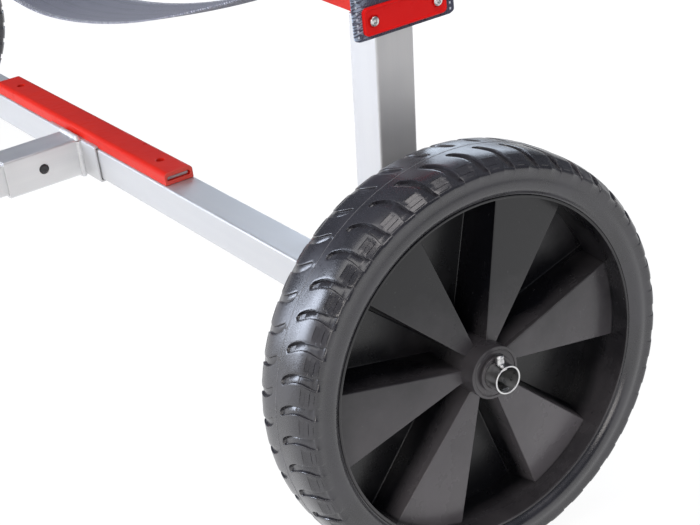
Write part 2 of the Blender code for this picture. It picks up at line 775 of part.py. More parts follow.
def build_handle(frame, looks):
    at = (0, -handle_reach, 0)
    rings = [circle(-tee_half, tee_radius), circle(tee_half, tee_radius)]
    tee = piece("handle_tee", rings, looks["plastic"], frame, at=at)
    plug = tube_half - tube_wall - gap
    shank = block((-tube_half, -0.001, -tube_half), (tube_half, tee_back, tube_half))
    boolean(tee, helper("handle_tee_shank", [(shank, False)], frame, at=at), "UNION")
    inside = block((-plug, tee_back - 0.004, -plug), (plug, tee_back + plug_length, plug))
    boolean(tee, helper("handle_tee_plug", [(inside, False)], frame, at=at), "UNION")
    y = -handle_reach
    bore = ((-0.05, y, 0), (0.05, y, 0), handle_radius + 2 * gap)
    boolean(tee, helper("handle_tee_bore", [(rod(bore[0], bore[1], bore[2], 24), False)], frame), "DIFFERENCE")
    hole = m6_radius + gap
    drill(tee, [((0, y, 0.012), (0, y, 0.03), hole)], frame)

    inner = handle_radius - handle_wall
    rings = [circle(-handle_half, handle_radius), circle(handle_half, handle_radius)]
    rings += [circle(handle_half, inner), circle(-handle_half, inner)]
    tube = piece("handle_tube", rings, looks["aluminium"], frame, hollow=True, at=at)
    drill(tube, [((0, y, -0.02), (0, y, 0.02), hole)], frame)

    length = tee_radius + handle_radius + gap
    rings = pan_screw_rings(2 * m6_radius, m6_radius, m6_radius, length)
    seat = (0, y, tee_radius + gap)
    piece("handle_screw", rings, looks["steel"], frame, at=seat, turn=(0, math.pi / 2, 0))

    sleeve = handle_radius + gap
    mouth = handle_half - grip_length
    end = handle_half + gap + grip_end
    profile = [
        (handle_half + gap, 0.3 * sleeve),
        (handle_half + gap, sleeve),
        (mouth, sleeve),
        (mouth, grip_radius),
        (handle_half - 0.003, grip_radius),
        (end, grip_radius - 0.004),
        (end, 0.3 * sleeve),
    ]
    phase = -math.pi / 2 - drawbar_slope
    for side, word in ((1, "right"), (-1, "left")):
        rings = [circle(x, r, phase=phase) for x, r in profile]
        piece("grip_" + word, rings, looks["grip"], frame, hollow=True, at=at, side=side)


def build_bow_support(frame, looks):
    at = (0, -bow_reach, 0)
    inside = tube_side + 2 * gap
    outer = outline(sleeve_side, sleeve_side, tube_corner)
    inner = outline(inside, inside, 0.0006)
    rings = [along_y(outer, -bow_collar_half), along_y(outer, bow_collar_half)]
    rings += [along_y(inner, bow_collar_half), along_y(inner, -bow_collar_half)]
    support = piece("bow_support", rings, looks["aluminium"], frame, hollow=True, at=at)

    def level(shape, z):
        return [Vector((a, b, z)) for a, b in shape]

    outer = outline(post_side, post_side, tube_corner)
    inner = outline(post_side - 2 * post_wall, post_side - 2 * post_wall, 0.0008)
    foot, crest = sleeve_side / 2 - 0.0015, bow_height + 0.001
    rings = [level(outer, foot), level(outer, crest), level(inner, crest), level(inner, foot)]
    boolean(support, helper("bow_post", [(rings, True)], frame, at=at), "UNION")

    sine, cosine = math.sin(bow_wing_angle), math.cos(bow_wing_angle)
    lift = strip_thickness / cosine
    reach, rise = bow_wing * cosine, bow_wing * sine
    vee = [(0, 0), (reach, rise), (reach - strip_thickness * sine, rise + strip_thickness * cosine), (0, lift)]
    vee += [(-x, z) for x, z in reversed(vee[1:3])]
    low = bow_height - 0.0005
    rings = [[Vector((x, s * strip_width / 2, low + z)) for x, z in vee] for s in (-1, 1)]
    boolean(support, helper("bow_wings", [(rings, False)], frame, at=at), "UNION")

    seat = sleeve_side / 2
    boss = rod((seat - 0.001, 0, 0), (seat + boss_length, 0, 0), boss_radius, 24)
    boolean(support, helper("bow_boss", [(boss, False)], frame, at=at), "UNION")
    y = -bow_reach
    drill(support, [((0.01, y, 0), (0.04, y, 0), m8_radius + gap)], frame)

    start = (post_side / 2 + bow_pad_clearance - strip_low * sine) / cosine
    end = bow_wing + 0.001
    for side, word in ((1, "right"), (-1, "left")):
        holder = empty("bow_wing_" + word, frame, at=(0, y, low), turn=(0, -side * bow_wing_angle, 0))
        rings = pad_rings(start, end)
        at_pad = (0, 0, -strip_low)
        piece("bow_pad_" + word, rings, looks["red"], holder, hollow=True, at=at_pad, side=side)

    face = seat + boss_length + knob_gap
    rings = [
        circle(tube_half + gap, m8_radius, 30),
        circle(face, m8_radius, 30),
        circle(face, 0.55 * knob_radius, 30),
        circle(face + 0.35 * knob_height, 0.60 * knob_radius, 30),
        circle(face + 0.36 * knob_height, knob_radius, 30, lobes=knob_lobes, lobe=0.0035),
        circle(face + 0.90 * knob_height, knob_radius, 30, lobes=knob_lobes, lobe=0.0035),
        circle(face + knob_height, 0.85 * knob_radius, 30, lobes=knob_lobes, lobe=0.0030),
    ]
    piece("bow_knob", rings, looks["plastic"], frame, at=at)


def main():
    clear_scene()
    looks = {
        "aluminium": material("aluminium", (0.80, 0.81, 0.83), 0.42, 0.6),
        "steel": material("steel", (0.75, 0.75, 0.74), 0.28, 1.0),
        "red": material("red_pvc", (0.72, 0.03, 0.03), 0.40),
        "plastic": material("black_plastic", (0.045, 0.043, 0.045), 0.42),
        "nylon": material("black_nylon", (0.06, 0.06, 0.06), 0.55),
        "rubber": material("tyre_rubber", (0.055, 0.055, 0.060), 0.62),
        "grip": material("grip_rubber", (0.04, 0.04, 0.04), 0.75),
        "webbing": material("webbing", (0.20, 0.21, 0.25), 0.85),
    }
    axle_back = (handle_reach * math.cos(drawbar_slope) + grip_radius - wheel_radius) / 2
    axle = (0, axle_back, wheel_radius)
    ground = empty("axle_line", at=axle)
    frame = empty("frame_root", at=axle, turn=(drawbar_slope, 0, 0))

    build_beam(frame, looks)
    build_tee(frame, looks)
    build_keel_pad(frame, looks)
    sling = build_sling(frame, looks)
    for side, word in ((1, "right"), (-1, "left")):
        build_upright(side, word, frame, looks)
        x, y, z = head_place()
        head = empty("head_" + word, frame, at=(side * x, y, z), turn=(0, side * upright_splay, 0))
        through = build_head(side, word, head, looks)
        solids = [(rod(start, end, radius), False) for start, end, radius in through]
        boolean(sling, helper("sling_holes_" + word, solids, head, side=side), "DIFFERENCE")
        build_axle(side, word, frame, looks)
        build_wheel(side, word, ground, looks)
    build_drawbar(frame, looks)
    build_handle(frame, looks)
    build_bow_support(frame, looks)


main()
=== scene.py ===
"""Looks of the dinghy launching trolley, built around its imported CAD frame. Metres, +Z up."""

import math

import bmesh
import bpy
import numpy as np
from mathutils import Euler, Matrix, Vector


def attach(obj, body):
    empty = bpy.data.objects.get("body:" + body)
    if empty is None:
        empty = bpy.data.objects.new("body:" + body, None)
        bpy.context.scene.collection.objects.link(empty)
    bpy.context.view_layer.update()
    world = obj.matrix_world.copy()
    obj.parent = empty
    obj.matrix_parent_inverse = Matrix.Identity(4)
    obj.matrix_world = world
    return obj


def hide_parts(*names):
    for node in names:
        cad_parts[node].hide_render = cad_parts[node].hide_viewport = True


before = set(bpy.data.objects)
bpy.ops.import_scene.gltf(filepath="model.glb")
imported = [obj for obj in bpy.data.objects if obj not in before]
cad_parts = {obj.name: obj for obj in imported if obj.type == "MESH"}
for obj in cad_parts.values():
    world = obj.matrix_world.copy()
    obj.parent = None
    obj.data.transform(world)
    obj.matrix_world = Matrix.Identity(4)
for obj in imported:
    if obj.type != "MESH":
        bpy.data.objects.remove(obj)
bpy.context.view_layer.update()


def shift(x=0.0, y=0.0, z=0.0):
    return Matrix.Translation((x, y, z))


# ---------------------------------------------------------------- places
wheel_radius = 0.185
handle_reach, handle_drop, bow_reach = 2.55, 0.165, 2.13
slope = math.asin(handle_drop / handle_reach)  # the drawbar runs nose down to its handle
axle_y = 1.189828
ROOT = shift(0, axle_y, wheel_radius) @ Matrix.Rotation(slope, 4, "X")
LENGTHWISE = Matrix.Rotation(math.pi / 2, 4, "Z")  # a bar's own X becomes the drawbar's Y
UPWARD = Matrix.Rotation(-math.pi / 2, 4, "Y")  # a bar's own X becomes Z
DOWNWARD = Matrix.Rotation(math.pi / 2, 4, "Y")
SIDES = ((1, "right"), (-1, "left"))

gap = 0.0003  # between pieces that touch
tube_side, tube_wall, tube_corner = 0.038, 0.003, 0.0025
tube_half = tube_side / 2
beam_half, beam_top = 0.668, tube_half + gap
sleeve_half, sleeve_side, sleeve_wall = 0.065, 0.044, 0.0027
socket_side, socket_wall, socket_front = 0.045, 0.0032, 0.1178
button_reach = 0.0709
bolt_radius, bolt_head, bolt_shank, bolt_rest = 0.0075, 0.0053, 0.004, 0.0085
nut_height, nut_bore = 0.0065, 0.0043

pad_width, pad_height, slot_low, slot_height = 0.0346, 0.0147, 0.0046, 0.0050
strip_thickness = 0.0030
keel_pad_half, access_inset = 0.2351, 0.0412
head_pad_inner, bow_pad_end = 0.075, 0.106

upright_width, upright_depth, upright_wall = 0.040, 0.038, 0.0025
upright_splay = math.radians(2.22)
upright_offset = beam_half - 0.0333
splay_run, rake_run = math.tan(upright_splay), math.tan(slope)
head_height = 0.2802
head_at = Vector((upright_offset + splay_run * head_height, rake_run * head_height, head_height))
HEAD = ROOT @ Matrix.Translation(head_at) @ Matrix.Rotation(upright_splay, 4, "Y")
bracket_thickness = 0.002
clamp_width, clamp_height, clamp_thickness, clamp_rim, clamp_screw_inset = 0.0818, 0.0235, 0.0035, 0.0017, 0.0093
clamp_middle = (0.0069, 0.0044)
sling_width, sling_thickness, sling_low, sling_bow, sling_climb = 0.100, 0.0016, 0.1743, 0.030, 1.62
sling_stand, sling_bend, sling_drop = 0.035, 0.016, 0.0111

axle_radius, axle_bore_radius, axle_end, axle_inside = 0.0125, 0.0110, 0.7987, 0.183
flange_thickness, spacer_length, spacer_wall = 0.002, 0.0286, 0.0032
pin_offset, pin_radius, pin_flange = 0.7895, 0.0037, 0.0046
wheel_offset = 0.7421
hub_half, hub_radius, barrel_half, barrel_radius = 0.0393, 0.0235, 0.0355, 0.151
web_depth_at_hub, web_depth_at_rim, web_skin, web_wall, web_fold = 0.0240, 0.0172, 0.0026, 0.0025, 0.0011
grip_start, grip_end, handle_radius, tee_radius = 0.128, 0.2628, 0.016, 0.019


# ---------------------------------------------------------------- materials
class Value:
    """An output of a shader node. Arithmetic on it adds a Math node."""

    def __init__(self, node, output=0):
        self.tree, self.socket = node.id_data, node.outputs[output]

    def maths(self, kind, other=0.0):
        return Value(add(self.tree, "Math", {0: self, 1: other}, operation=kind))

    def __add__(self, other):
        return self.maths("ADD", other)

    def __sub__(self, other):
        return self.maths("SUBTRACT", other)

    def __rsub__(self, other):
        return Value(add(self.tree, "Math", {0: other, 1: self}, operation="SUBTRACT"))

    def __mul__(self, other):
        return self.maths("MULTIPLY", other)

    def __abs__(self):
        return self.maths("ABSOLUTE")


def fill(node, inputs):
    """Constants and other nodes' outputs put into a node's sockets."""
    for key, value in inputs.items():
        if isinstance(value, Value):
            node.id_data.links.new(value.socket, node.inputs[key])
        else:
            node.inputs[key].default_value = value


def add(tree, kind, inputs=None, **settings):
    node = tree.nodes.new("ShaderNode" + kind)
    for key, value in settings.items():
        setattr(node, key, value)
    fill(node, inputs or {})
    return node


def wire(made, **inputs):
    """The material with these constants and outputs on its shader's own sockets."""
    shader = made.node_tree.nodes["Principled BSDF"]
    fill(shader, {socket.replace("_", " "): value for socket, value in inputs.items()})
    return made


def new_look(name, slot, **constants):
    made = bpy.data.materials.new(name)
    made.use_nodes = True
    made["slot"] = slot
    return wire(made, **constants), made.node_tree


def coordinates(tree, kind="Object"):
    return Value(add(tree, "TexCoord"), kind)


def scaled(place, scale):
    return Value(add(place.tree, "Mapping", {"Vector": place, "Scale": scale}))


def split(place):
    parts = add(place.tree, "SeparateXYZ", {"Vector": place})
    return [Value(parts, axis) for axis in range(3)]


def noise(tree, scale, detail=3.0, rough=0.55, stretch=(1, 1, 1), turn=(0, 0, 0), place=None):
    """Noise at a place, or at the object's own coordinates, turned and then stretched."""
    if place is None:
        place = Value(add(tree, "Mapping", {"Vector": coordinates(tree), "Rotation": turn}))
        place = scaled(place, stretch)
    inputs = {"Vector": place, "Scale": scale, "Detail": detail, "Roughness": rough}
    return Value(add(tree, "TexNoise", inputs), "Fac")


def distance(tree, centre, **point):
    place = Value(add(tree, "CombineXYZ", point))
    return Value(add(tree, "VectorMath", {0: place, 1: centre}, operation="DISTANCE"), "Value")


def spread(source, low, high, start=0.3, end=0.7):
    """The source's range from start to end drawn out from low to high, and held beyond it."""
    inputs = {"Value": source, "From Min": start, "From Max": end, "To Min": low, "To Max": high}
    return Value(add(source.tree, "MapRange", inputs))


def ramp(source, *stops):
    node = add(source.tree, "ValToRGB", {"Fac": source})
    points = node.color_ramp.elements
    while len(points) < len(stops):
        points.new(0.5)
    for point, (where, colour) in zip(points, stops):
        point.position, point.color = where, (*colour, 1.0)
    return Value(node, "Color")


def layers(tone, *coats, kind="MIX"):
    """A tone under coats of colour, each (share, colour)."""
    for share, colour in coats:
        inputs = {"Factor": share, 6: tone, 7: (*colour, 1.0)}
        tone = Value(add(tone.tree, "Mix", inputs, data_type="RGBA", blend_type=kind), 2)
    return tone


def surfaced(made, tone, rough, height, depth, strength=0.6):
    """The material with its tone, its roughness, and bumps of a depth from a height."""
    normal = Value(add(height.tree, "Bump", {"Height": height, "Distance": depth, "Strength": strength}))
    return wire(made, Base_Color=tone, Roughness=rough, Normal=normal)


def aluminium(axis):
    """Mill-finish extrusion: fine die lines along its axis, faint blotches and a soft oxide bloom. Bars along X and Z
    are painted darker than bars along Y, as painted shade.
    """
    metallic, axis_painted_shade = {
        "x": (0.60, (0.83, 0.83, 0.83)), "y": (0.85, (1.0, 1.0, 1.0)), "z": (0.42, (0.85, 0.845, 0.84))
    }[axis]
    made, tree = new_look("aluminium_along_" + axis, "aluminium", Metallic=metallic)

    def drawn(along, across, detail):
        stretch = [along if name == axis else across for name in "xyz"]
        return noise(tree, 1.0, detail, stretch=stretch, turn=(-slope if axis == "y" else 0, 0, 0))

    lines, bands, blotch = drawn(5, 700, 4.0), drawn(2, 90, 2.0), noise(tree, 14.0, 5.0)
    scratch = noise(tree, 3.0, 6.0, 0.7, (60, 60, 60), (0.4, 0.9, 0.3))
    tone = layers(
        ramp(bands, (0.30, (0.79, 0.79, 0.80)), (0.70, (0.83, 0.83, 0.83))),
        (spread(blotch, 0.0, 0.4), (0.75, 0.755, 0.76)),
        (spread(lines, 0.0, 0.25), (0.88, 0.885, 0.89)),
        (spread(scratch, 0.0, 0.35, 0.66, 0.74), (0.94, 0.94, 0.95)),
    )
    # Painted shade: the copies for bars along X and Z are multiplied darker than the copy along Y.
    tone = layers(tone, (1.0, axis_painted_shade), kind="MULTIPLY")
    rough = spread(lines, 0.38, 0.50) + spread(blotch, -0.04, 0.10)
    return surfaced(made, tone, rough, lines + scratch, 0.00006, 0.7)


def plain(name, slot, grain, cloud, tones, rough, depth, **constants):
    """Cloudy between two tones and rough with its grain. The noises are (scale, detail) or (scale,)."""
    made, tree = new_look(name, slot, **constants)
    grain, cloud = noise(tree, *grain), noise(tree, *cloud)
    return surfaced(made, ramp(cloud, *tones), spread(grain, *rough), grain, depth)


def steel():
    made, tree = new_look("zinc_plated_steel", "steel", Metallic=1.0)
    grain, cloud = noise(tree, 1.0, 4.0, stretch=(40, 900, 900)), noise(tree, 160.0, 4.0)
    tone = ramp(cloud, (0.30, (0.62, 0.62, 0.63)), (0.70, (0.78, 0.78, 0.77)))
    rough = spread(grain, 0.22, 0.32) + spread(cloud, 0.0, 0.08)
    return surfaced(made, tone, rough, grain, 0.00003, 0.5)


def red_pvc(name, colour, deep, cut=None):
    """Flexible PVC: glossy, with extrusion lines and a fine orange-peel skin, paler on ends cut at x = cut."""
    made, tree = new_look(name, "red_pvc", Specular_IOR_Level=0.14)
    lines, peel = noise(tree, 1.0, stretch=(4, 500, 500)), noise(tree, 700.0, 2.0)
    cloud, scuff = noise(tree, 22.0, 5.0), noise(tree, 1.0, 6.0, 0.7, (180, 40, 90), (0.3, 0.2, 0.5))
    tone = ramp(cloud, (0.30, deep), (0.70, colour))
    tone = layers(tone, (spread(scuff, 0.0, 0.16, 0.62, 0.74), (0.72, 0.10, 0.09)))
    if cut is not None:
        sawn = spread(abs(split(coordinates(tree))[0]), 0.0, 0.8, cut - 0.0008, cut - 0.0002)
        tone = layers(tone, (sawn, (1.0, 0.13, 0.10)))
    rough = spread(cloud, 0.26, 0.40) + spread(scuff, 0.0, 0.22, 0.5, 0.74)
    return surfaced(made, tone, rough, lines + peel * 0.6, 0.00008)


def black_plastic():
    """Moulded polypropylene: dark satin with flow marks, and on the wheel's outward faces dust with a painted
    reflection of the floor.
    """
    made, tree = new_look("black_moulded_plastic", "black_plastic", Specular_IOR_Level=0.55)
    x, y, z = split(coordinates(tree))
    # The outward faces are painted paler low down and toward the rear, part dust and part a painted reflection of the
    # floor, and less so on the rim's edge.
    dust_and_painted_reflection = spread(z, 0.22, -0.22, 0.09, 0.28) + 0.20 + spread(y, -0.06, 0.06, axle_y - 0.08, axle_y + 0.08)
    outward = spread(abs(x), 0.0, 1.0, 0.740, 0.757)
    from_hub = distance(tree, (0.0, axle_y, wheel_radius), Y=y, Z=z)
    dust_and_painted_reflection = dust_and_painted_reflection * (outward * spread(from_hub, 1.0, 0.35, 0.1455, 0.1475))
    dust, flow = noise(tree, 11.0, 6.0, 0.62), noise(tree, 1.0, 4.0, stretch=(60, 6, 6))
    speck, pebble = noise(tree, 420.0, 2.0), noise(tree, 1500.0, 2.0)
    tone = layers(
        ramp(dust * 0.46 + (dust_and_painted_reflection + 0.11), (0.36, (0.006, 0.006, 0.008)), (0.82, (0.163, 0.150, 0.157))),
        (spread(speck, 0.0, 0.25, 0.70, 0.76), (0.20, 0.20, 0.20)),
    )
    rough = spread(dust, 0.19, 0.34) + spread(flow, -0.04, 0.06)
    return surfaced(made, tone, rough, pebble + flow * 3.0, 0.00005)


def tyre_rubber(name, dark, pale):
    made, tree = new_look(name, "tyre_rubber", Specular_IOR_Level=0.95, Sheen_Weight=0.05, Sheen_Roughness=0.5)
    grain, cloud, speck = noise(tree, 900.0), noise(tree, 26.0, 6.0, 0.6), noise(tree, 520.0, 2.0)
    tone = ramp(cloud, (0.32, dark), (0.68, pale))
    tone = layers(tone, (spread(speck, 0.0, 0.3, 0.68, 0.76), (0.11, 0.11, 0.14)))
    rough = spread(cloud, 0.22, 0.34) + spread(grain, -0.03, 0.05)
    return surfaced(made, tone, rough, grain, 0.00004)


def grip_rubber():
    made, tree = new_look("grip_rubber", "grip_rubber", Sheen_Weight=0.1)
    grain, cloud = noise(tree, 1100.0), noise(tree, 50.0, 4.0)
    tone = ramp(cloud, (0.3, (0.018, 0.018, 0.019)), (0.7, (0.032, 0.031, 0.031)))
    return surfaced(made, tone, spread(cloud, 0.58, 0.75), grain, 0.0002, 0.7)


def webbing(length):
    """Woven polyester strap. The UV map holds metres: across the strap, then along it."""
    made, tree = new_look(
        "polyester_webbing", "webbing", Specular_IOR_Level=0.3, Sheen_Weight=0.25, Sheen_Roughness=0.4
    )
    place = Value(add(tree, "UVMap", uv_map="strap"))
    across, along, _ = split(place)

    def wave(source, pitch):
        return (source * (2 * math.pi / pitch)).maths("SINE")

    def patches(scale, detail, rough=0.55):
        return noise(tree, scale, detail, rough, place=place)

    twill = wave(along + patches(240.0, 2.0) * 0.0012 + across * 0.9, 0.0030)
    thread = wave(along + across * -0.5, 0.0009)
    weave = (wave(across, 0.0021) * 0.30 + twill * 0.34 + thread * 0.12) * 0.5 + 0.5
    fade = patches(30.0, 4.0)
    panel_lines = spread(wave(across, 0.0200), 0.0, 0.7, -0.86, -1.0) * spread(patches(18.0, 3.0), 0.2, 1.0)
    # Each end stands up out of its clamp: painted darker as painted shade, with a painted highlight along its front
    # edge, a row of stitches near each edge and three small marks low down. Then the strap bends over, with painted
    # highlights at its folds, and has pale dots along its borders.
    from_end = along.maths("MINIMUM", length - along)
    ends = spread(from_end, 1.0, 0.0, 0.044, 0.056)
    off_middle = abs(across)
    border = spread(off_middle, 0.0, 1.0, 0.0425, 0.0448) * (1.0 - ends)
    border = border * spread(wave(along, 0.0050), 0.10, 1.0, -0.3, 0.5)
    bend = spread(from_end, 0.0, 1.0, 0.042, 0.050) * spread(from_end, 0.62, 0.0, 0.060, 0.090)
    folds = noise(tree, 1.0, 3.0, 0.6, place=scaled(place, (150.0, 620.0, 1.0)))
    folds = spread(folds, 0.0, 1.0, 0.46, 0.56)
    mottle = spread(patches(420.0, 2.0, 0.7), 0.0, 1.0, 0.47, 0.56)
    front = spread(across, 0.85, 0.0, -0.043, -0.033) * ends
    row = spread(abs(off_middle - 0.0458), 1.0, 0.0, 0.0005, 0.0011)
    stitch = row * spread(wave(along, 0.0050), 0.0, 1.0, 0.1, 0.5)
    marks = [distance(tree, (centre, 0.0026, 0.0), X=across, Y=from_end) for centre in (0.0035, 0.0195, 0.0357)]
    tone = layers(
        ramp(weave, (0.16, (0.032, 0.033, 0.052)), (0.50, (0.084, 0.084, 0.120)), (0.84, (0.170, 0.166, 0.228))),
        (spread(fade, 0.0, 0.30), (0.16, 0.16, 0.20)),
        (spread(patches(1100.0, 2.0), 0.0, 0.45, 0.60, 0.72), (0.45, 0.50, 0.58)),
        (panel_lines, (0.035, 0.038, 0.055)),
        (spread(patches(700.0, 2.0), 0.0, 0.5, 0.60, 0.70), (0.030, 0.034, 0.055)),
        # Painted highlight on the folds where the strap bends over.
        (bend * folds, (0.50, 0.58, 0.68)),
        (border * mottle, (0.80, 0.81, 0.86)),
        # Painted shade over each standing end.
        (ends * 0.38, (0.070, 0.078, 0.125)),
        # Painted highlight along the front edge of each standing end.
        (front * folds, (0.50, 0.60, 0.74)),
        (stitch * ends, (0.75, 0.80, 0.88)),
        *[(spread(away, 1.0, 0.0, 0.0010, 0.0016), (0.010, 0.011, 0.016)) for away in marks],
    )
    return surfaced(made, tone, spread(fade, 0.70, 0.86), weave, 0.00035, 0.9)


pad_tones = (0.80, 0.026, 0.012), (0.73, 0.019, 0.011)
weld_tones = (0.35, (0.76, 0.76, 0.76)), (0.65, (0.88, 0.88, 0.89))
nylon_tones = (0.3, (0.014, 0.014, 0.016)), (0.7, (0.030, 0.030, 0.031))
looks = {
    "bar_x": aluminium("x"),
    "bar_y": aluminium("y"),
    "bar_z": aluminium("z"),
    "weld": plain("aluminium_weld", "aluminium", (900.0, 4.0), (60.0,), weld_tones, (0.38, 0.6), 0.0001,
                  Metallic=0.30),
    "steel": steel(),
    "pad": red_pvc("red_pvc_extrusion", *pad_tones),
    "keel_pad": red_pvc("red_pvc_cut_to_length", *pad_tones, keel_pad_half),
    "plate": red_pvc("red_moulded_plate", (1.0, 0.014, 0.011), (0.95, 0.010, 0.010)),
    "plastic": black_plastic(),
    "nylon": plain("black_nylon", "black_nylon", (600.0,), (40.0,), nylon_tones, (0.32, 0.5), 0.00005),
    "tyre": tyre_rubber("tyre_rubber", (0.012, 0.011, 0.015), (0.029, 0.027, 0.035)),
    # The moulding line's pale tones are a painted highlight.
    "tyre_line": tyre_rubber("tyre_moulding_line", (0.27, 0.27, 0.28), (0.34, 0.34, 0.36)),
    "grip": grip_rubber(),
}


# ---------------------------------------------------------------- mesh helpers
def rectangle(width, height, corner, foot=None, steps=6, centre=(0.0, 0.0)):
    """A rectangle with rounded corners, anticlockwise from its lower right, as a function of how far it
    is drawn in. foot is its lower corners' radius."""
    foot = corner if foot is None else foot

    def shape(inset):
        points = []
        for sx, sy, start in ((1, -1, -90), (1, 1, 0), (-1, 1, 90), (-1, -1, 180)):
            radius = max((corner if sy > 0 else foot) - inset, 1e-4)
            x = centre[0] + sx * ((width - 2 * inset) / 2 - radius)
            y = centre[1] + sy * ((height - 2 * inset) / 2 - radius)
            for step in range(steps + 1):
                angle = math.radians(start + 90 * step / steps)
                points.append((x + radius * math.cos(angle), y + radius * math.sin(angle)))
        return np.array(points)

    return shape


def polar(radii, angles):
    return np.stack([radii * np.cos(angles), radii * np.sin(angles)], axis=1)


def disc(radius, steps=48, phase=0.0, shape=None):
    """A circle as a function of how far it is drawn in, with a relative radius per angle if given."""
    angles = phase + 2 * math.pi * np.arange(steps) / steps
    share = np.ones(steps) if shape is None else shape(angles)
    return lambda inset: polar((radius - inset) * share, angles)


def at_x(shape, x):
    return np.column_stack([np.full(len(shape), x), shape])


def turned(profile, steps=48, shape=None):
    """Rings about X from (x, radius) points, with a relative radius per angle if given."""
    return [at_x(disc(r, steps, 0.0, shape)(0), x) for x, r in profile]


def prism(shape, start, end, hole=None, ease=0.0004, mouth=None):
    """A bar along X with eased end edges, and with a hole through it if given, as (rings, hollow)."""
    arc = [math.radians(30 * k) for k in range(4)]

    def edge(section, inset, x, run):
        return [at_x(section(inset * (1 - math.cos(a))), x + run * (1 - math.sin(a))) for a in arc]

    rings = edge(shape, ease, start, ease)[::-1] + edge(shape, ease, end, -ease)
    if hole is not None:
        flare = ease if mouth is None else mouth
        rings += edge(hole, -flare, end, -flare)[::-1] + edge(hole, -flare, start, flare)
    return rings, hole is not None


def skin(rings, hollow):
    """Points and faces of stacked rings: a hollow body's last ring joins its first."""
    points = np.concatenate(rings)
    count, rows = len(rings[0]), len(rings)
    k = np.arange(count)
    n = (k + 1) % count
    faces = []
    for row in range(rows if hollow else rows - 1):
        a, b = row * count, ((row + 1) % rows) * count
        faces += np.stack([a + k, a + n, b + n, b + k], axis=1).tolist()
    if not hollow:
        faces += [list(range(count)), list(range((rows - 1) * count, rows * count))]
    return points, faces


def soften(mesh, degrees=38):
    mesh.shade_smooth()
    mesh.set_sharp_from_angle(angle=math.radians(degrees))


def shown(name, points, faces, material, place=ROOT, side=1):
    """An object from points in its own place, mirrored to the left for side -1."""
    matrix = np.array(place)
    points = points @ matrix[:3, :3].T + matrix[:3, 3]
    points[:, 0] *= side
    mesh = bpy.data.meshes.new(name)
    mesh.from_pydata(points.tolist(), [], faces)
    work = bmesh.new()
    work.from_mesh(mesh)
    bmesh.ops.recalc_face_normals(work, faces=work.faces)
    work.to_mesh(mesh)
    work.free()
    mesh.materials.append(material)
    soften(mesh)
    obj = bpy.data.objects.new(name, mesh)
    bpy.context.scene.collection.objects.link(obj)
    return obj


def solid(name, parts, material, place=ROOT, side=1):
    """An object of closed bodies, each (rings, hollow)."""
    all_points, all_faces, base = [], [], 0
    for rings, hollow in parts:
        points, faces = skin(rings, hollow)
        all_points.append(points)
        all_faces += [[base + v for v in face] for face in faces]
        base += len(points)
    return shown(name, np.concatenate(all_points), all_faces, material, place, side)


def bake(obj):
    """The object's modifiers applied to its mesh."""
    graph = bpy.context.evaluated_depsgraph_get()
    made = bpy.data.meshes.new_from_object(obj.evaluated_get(graph))
    obj.modifiers.clear()
    obj.data = made
    soften(made)


def carve(obj, cutter, place=ROOT, side=1, operation="DIFFERENCE"):
    """A closed body cut from, or joined to, an object."""
    tool = solid(obj.name + "_tool", [cutter], obj.data.materials[0], place, side)
    step = obj.modifiers.new("cut", "BOOLEAN")
    step.operation, step.solver, step.object = operation, "EXACT", tool
    bake(obj)
    bpy.data.objects.remove(tool, do_unlink=True)


def finish_piece(obj, body, nodes=(), flats=True):
    """The piece attached to its body, with the CAD nodes it stands for hidden. flats keeps the normals of large flats
    flat.
    """
    if flats:
        step = obj.modifiers.new("flat_normals", "WEIGHTED_NORMAL")
        step.keep_sharp = True
    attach(obj, body)
    if nodes:
        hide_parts(*nodes)
    return obj


def piece(name, look, *parts, place=ROOT, side=1, body="frame", flats=True, cuts=(), nodes=None):
    """A piece for the CAD node of its name, or else for the nodes, cut by (closed body, place) pairs."""
    obj = solid(name + "_fine" if nodes is None else name, parts, looks[look], place, side)
    for cutter, where in cuts:
        carve(obj, cutter, where, side)
    return finish_piece(obj, body, [name] if nodes is None else nodes, flats)


def eased_hole(radius, depth, flare=0.0004):
    """A round cutter along X, from x = -depth up to the surface at x = 0, flared at its mouth."""
    profile = [(-depth, radius), (-flare, radius), (-0.3 * flare, radius + 0.3 * flare), (0, radius + flare)]
    return turned(profile + [(0.003, radius + flare)], 40), False


def weld_bead(name, path, radius, place=ROOT, side=1, body="frame", ripple=0.0013):
    """A rippled bead along a line of points."""
    path = [Vector(p) for p in path]
    lengths = [0.0]
    for a, b in zip(path, path[1:]):
        lengths.append(lengths[-1] + (b - a).length)
    count = max(6, int(lengths[-1] / (ripple / 4)))
    rings = []
    for k in range(count + 1):
        s = lengths[-1] * k / count
        j = max(i for i in range(len(path) - 1) if lengths[i] <= s + 1e-9)
        share = (s - lengths[j]) / (lengths[j + 1] - lengths[j])
        middle = path[j].lerp(path[j + 1], min(share, 1.0))
        run = (path[min(j + 1, len(path) - 1)] - path[j]).normalized()
        turn = np.array(run.to_track_quat("X", "Z").to_matrix())
        end = min(1.0, (min(s, lengths[-1] - s) + 0.0004) / 0.0016)
        swell = 1 + 0.05 * math.cos(2 * math.pi * s / ripple) + 0.05 * math.sin(61 * s / ripple / 7)
        rings.append(turned([(0.0, radius * math.sqrt(end) * swell)], 12)[0] @ turn.T + np.array(middle))
    piece(name, "weld", (rings, False), place=place, side=side, body=body, flats=False, nodes=())


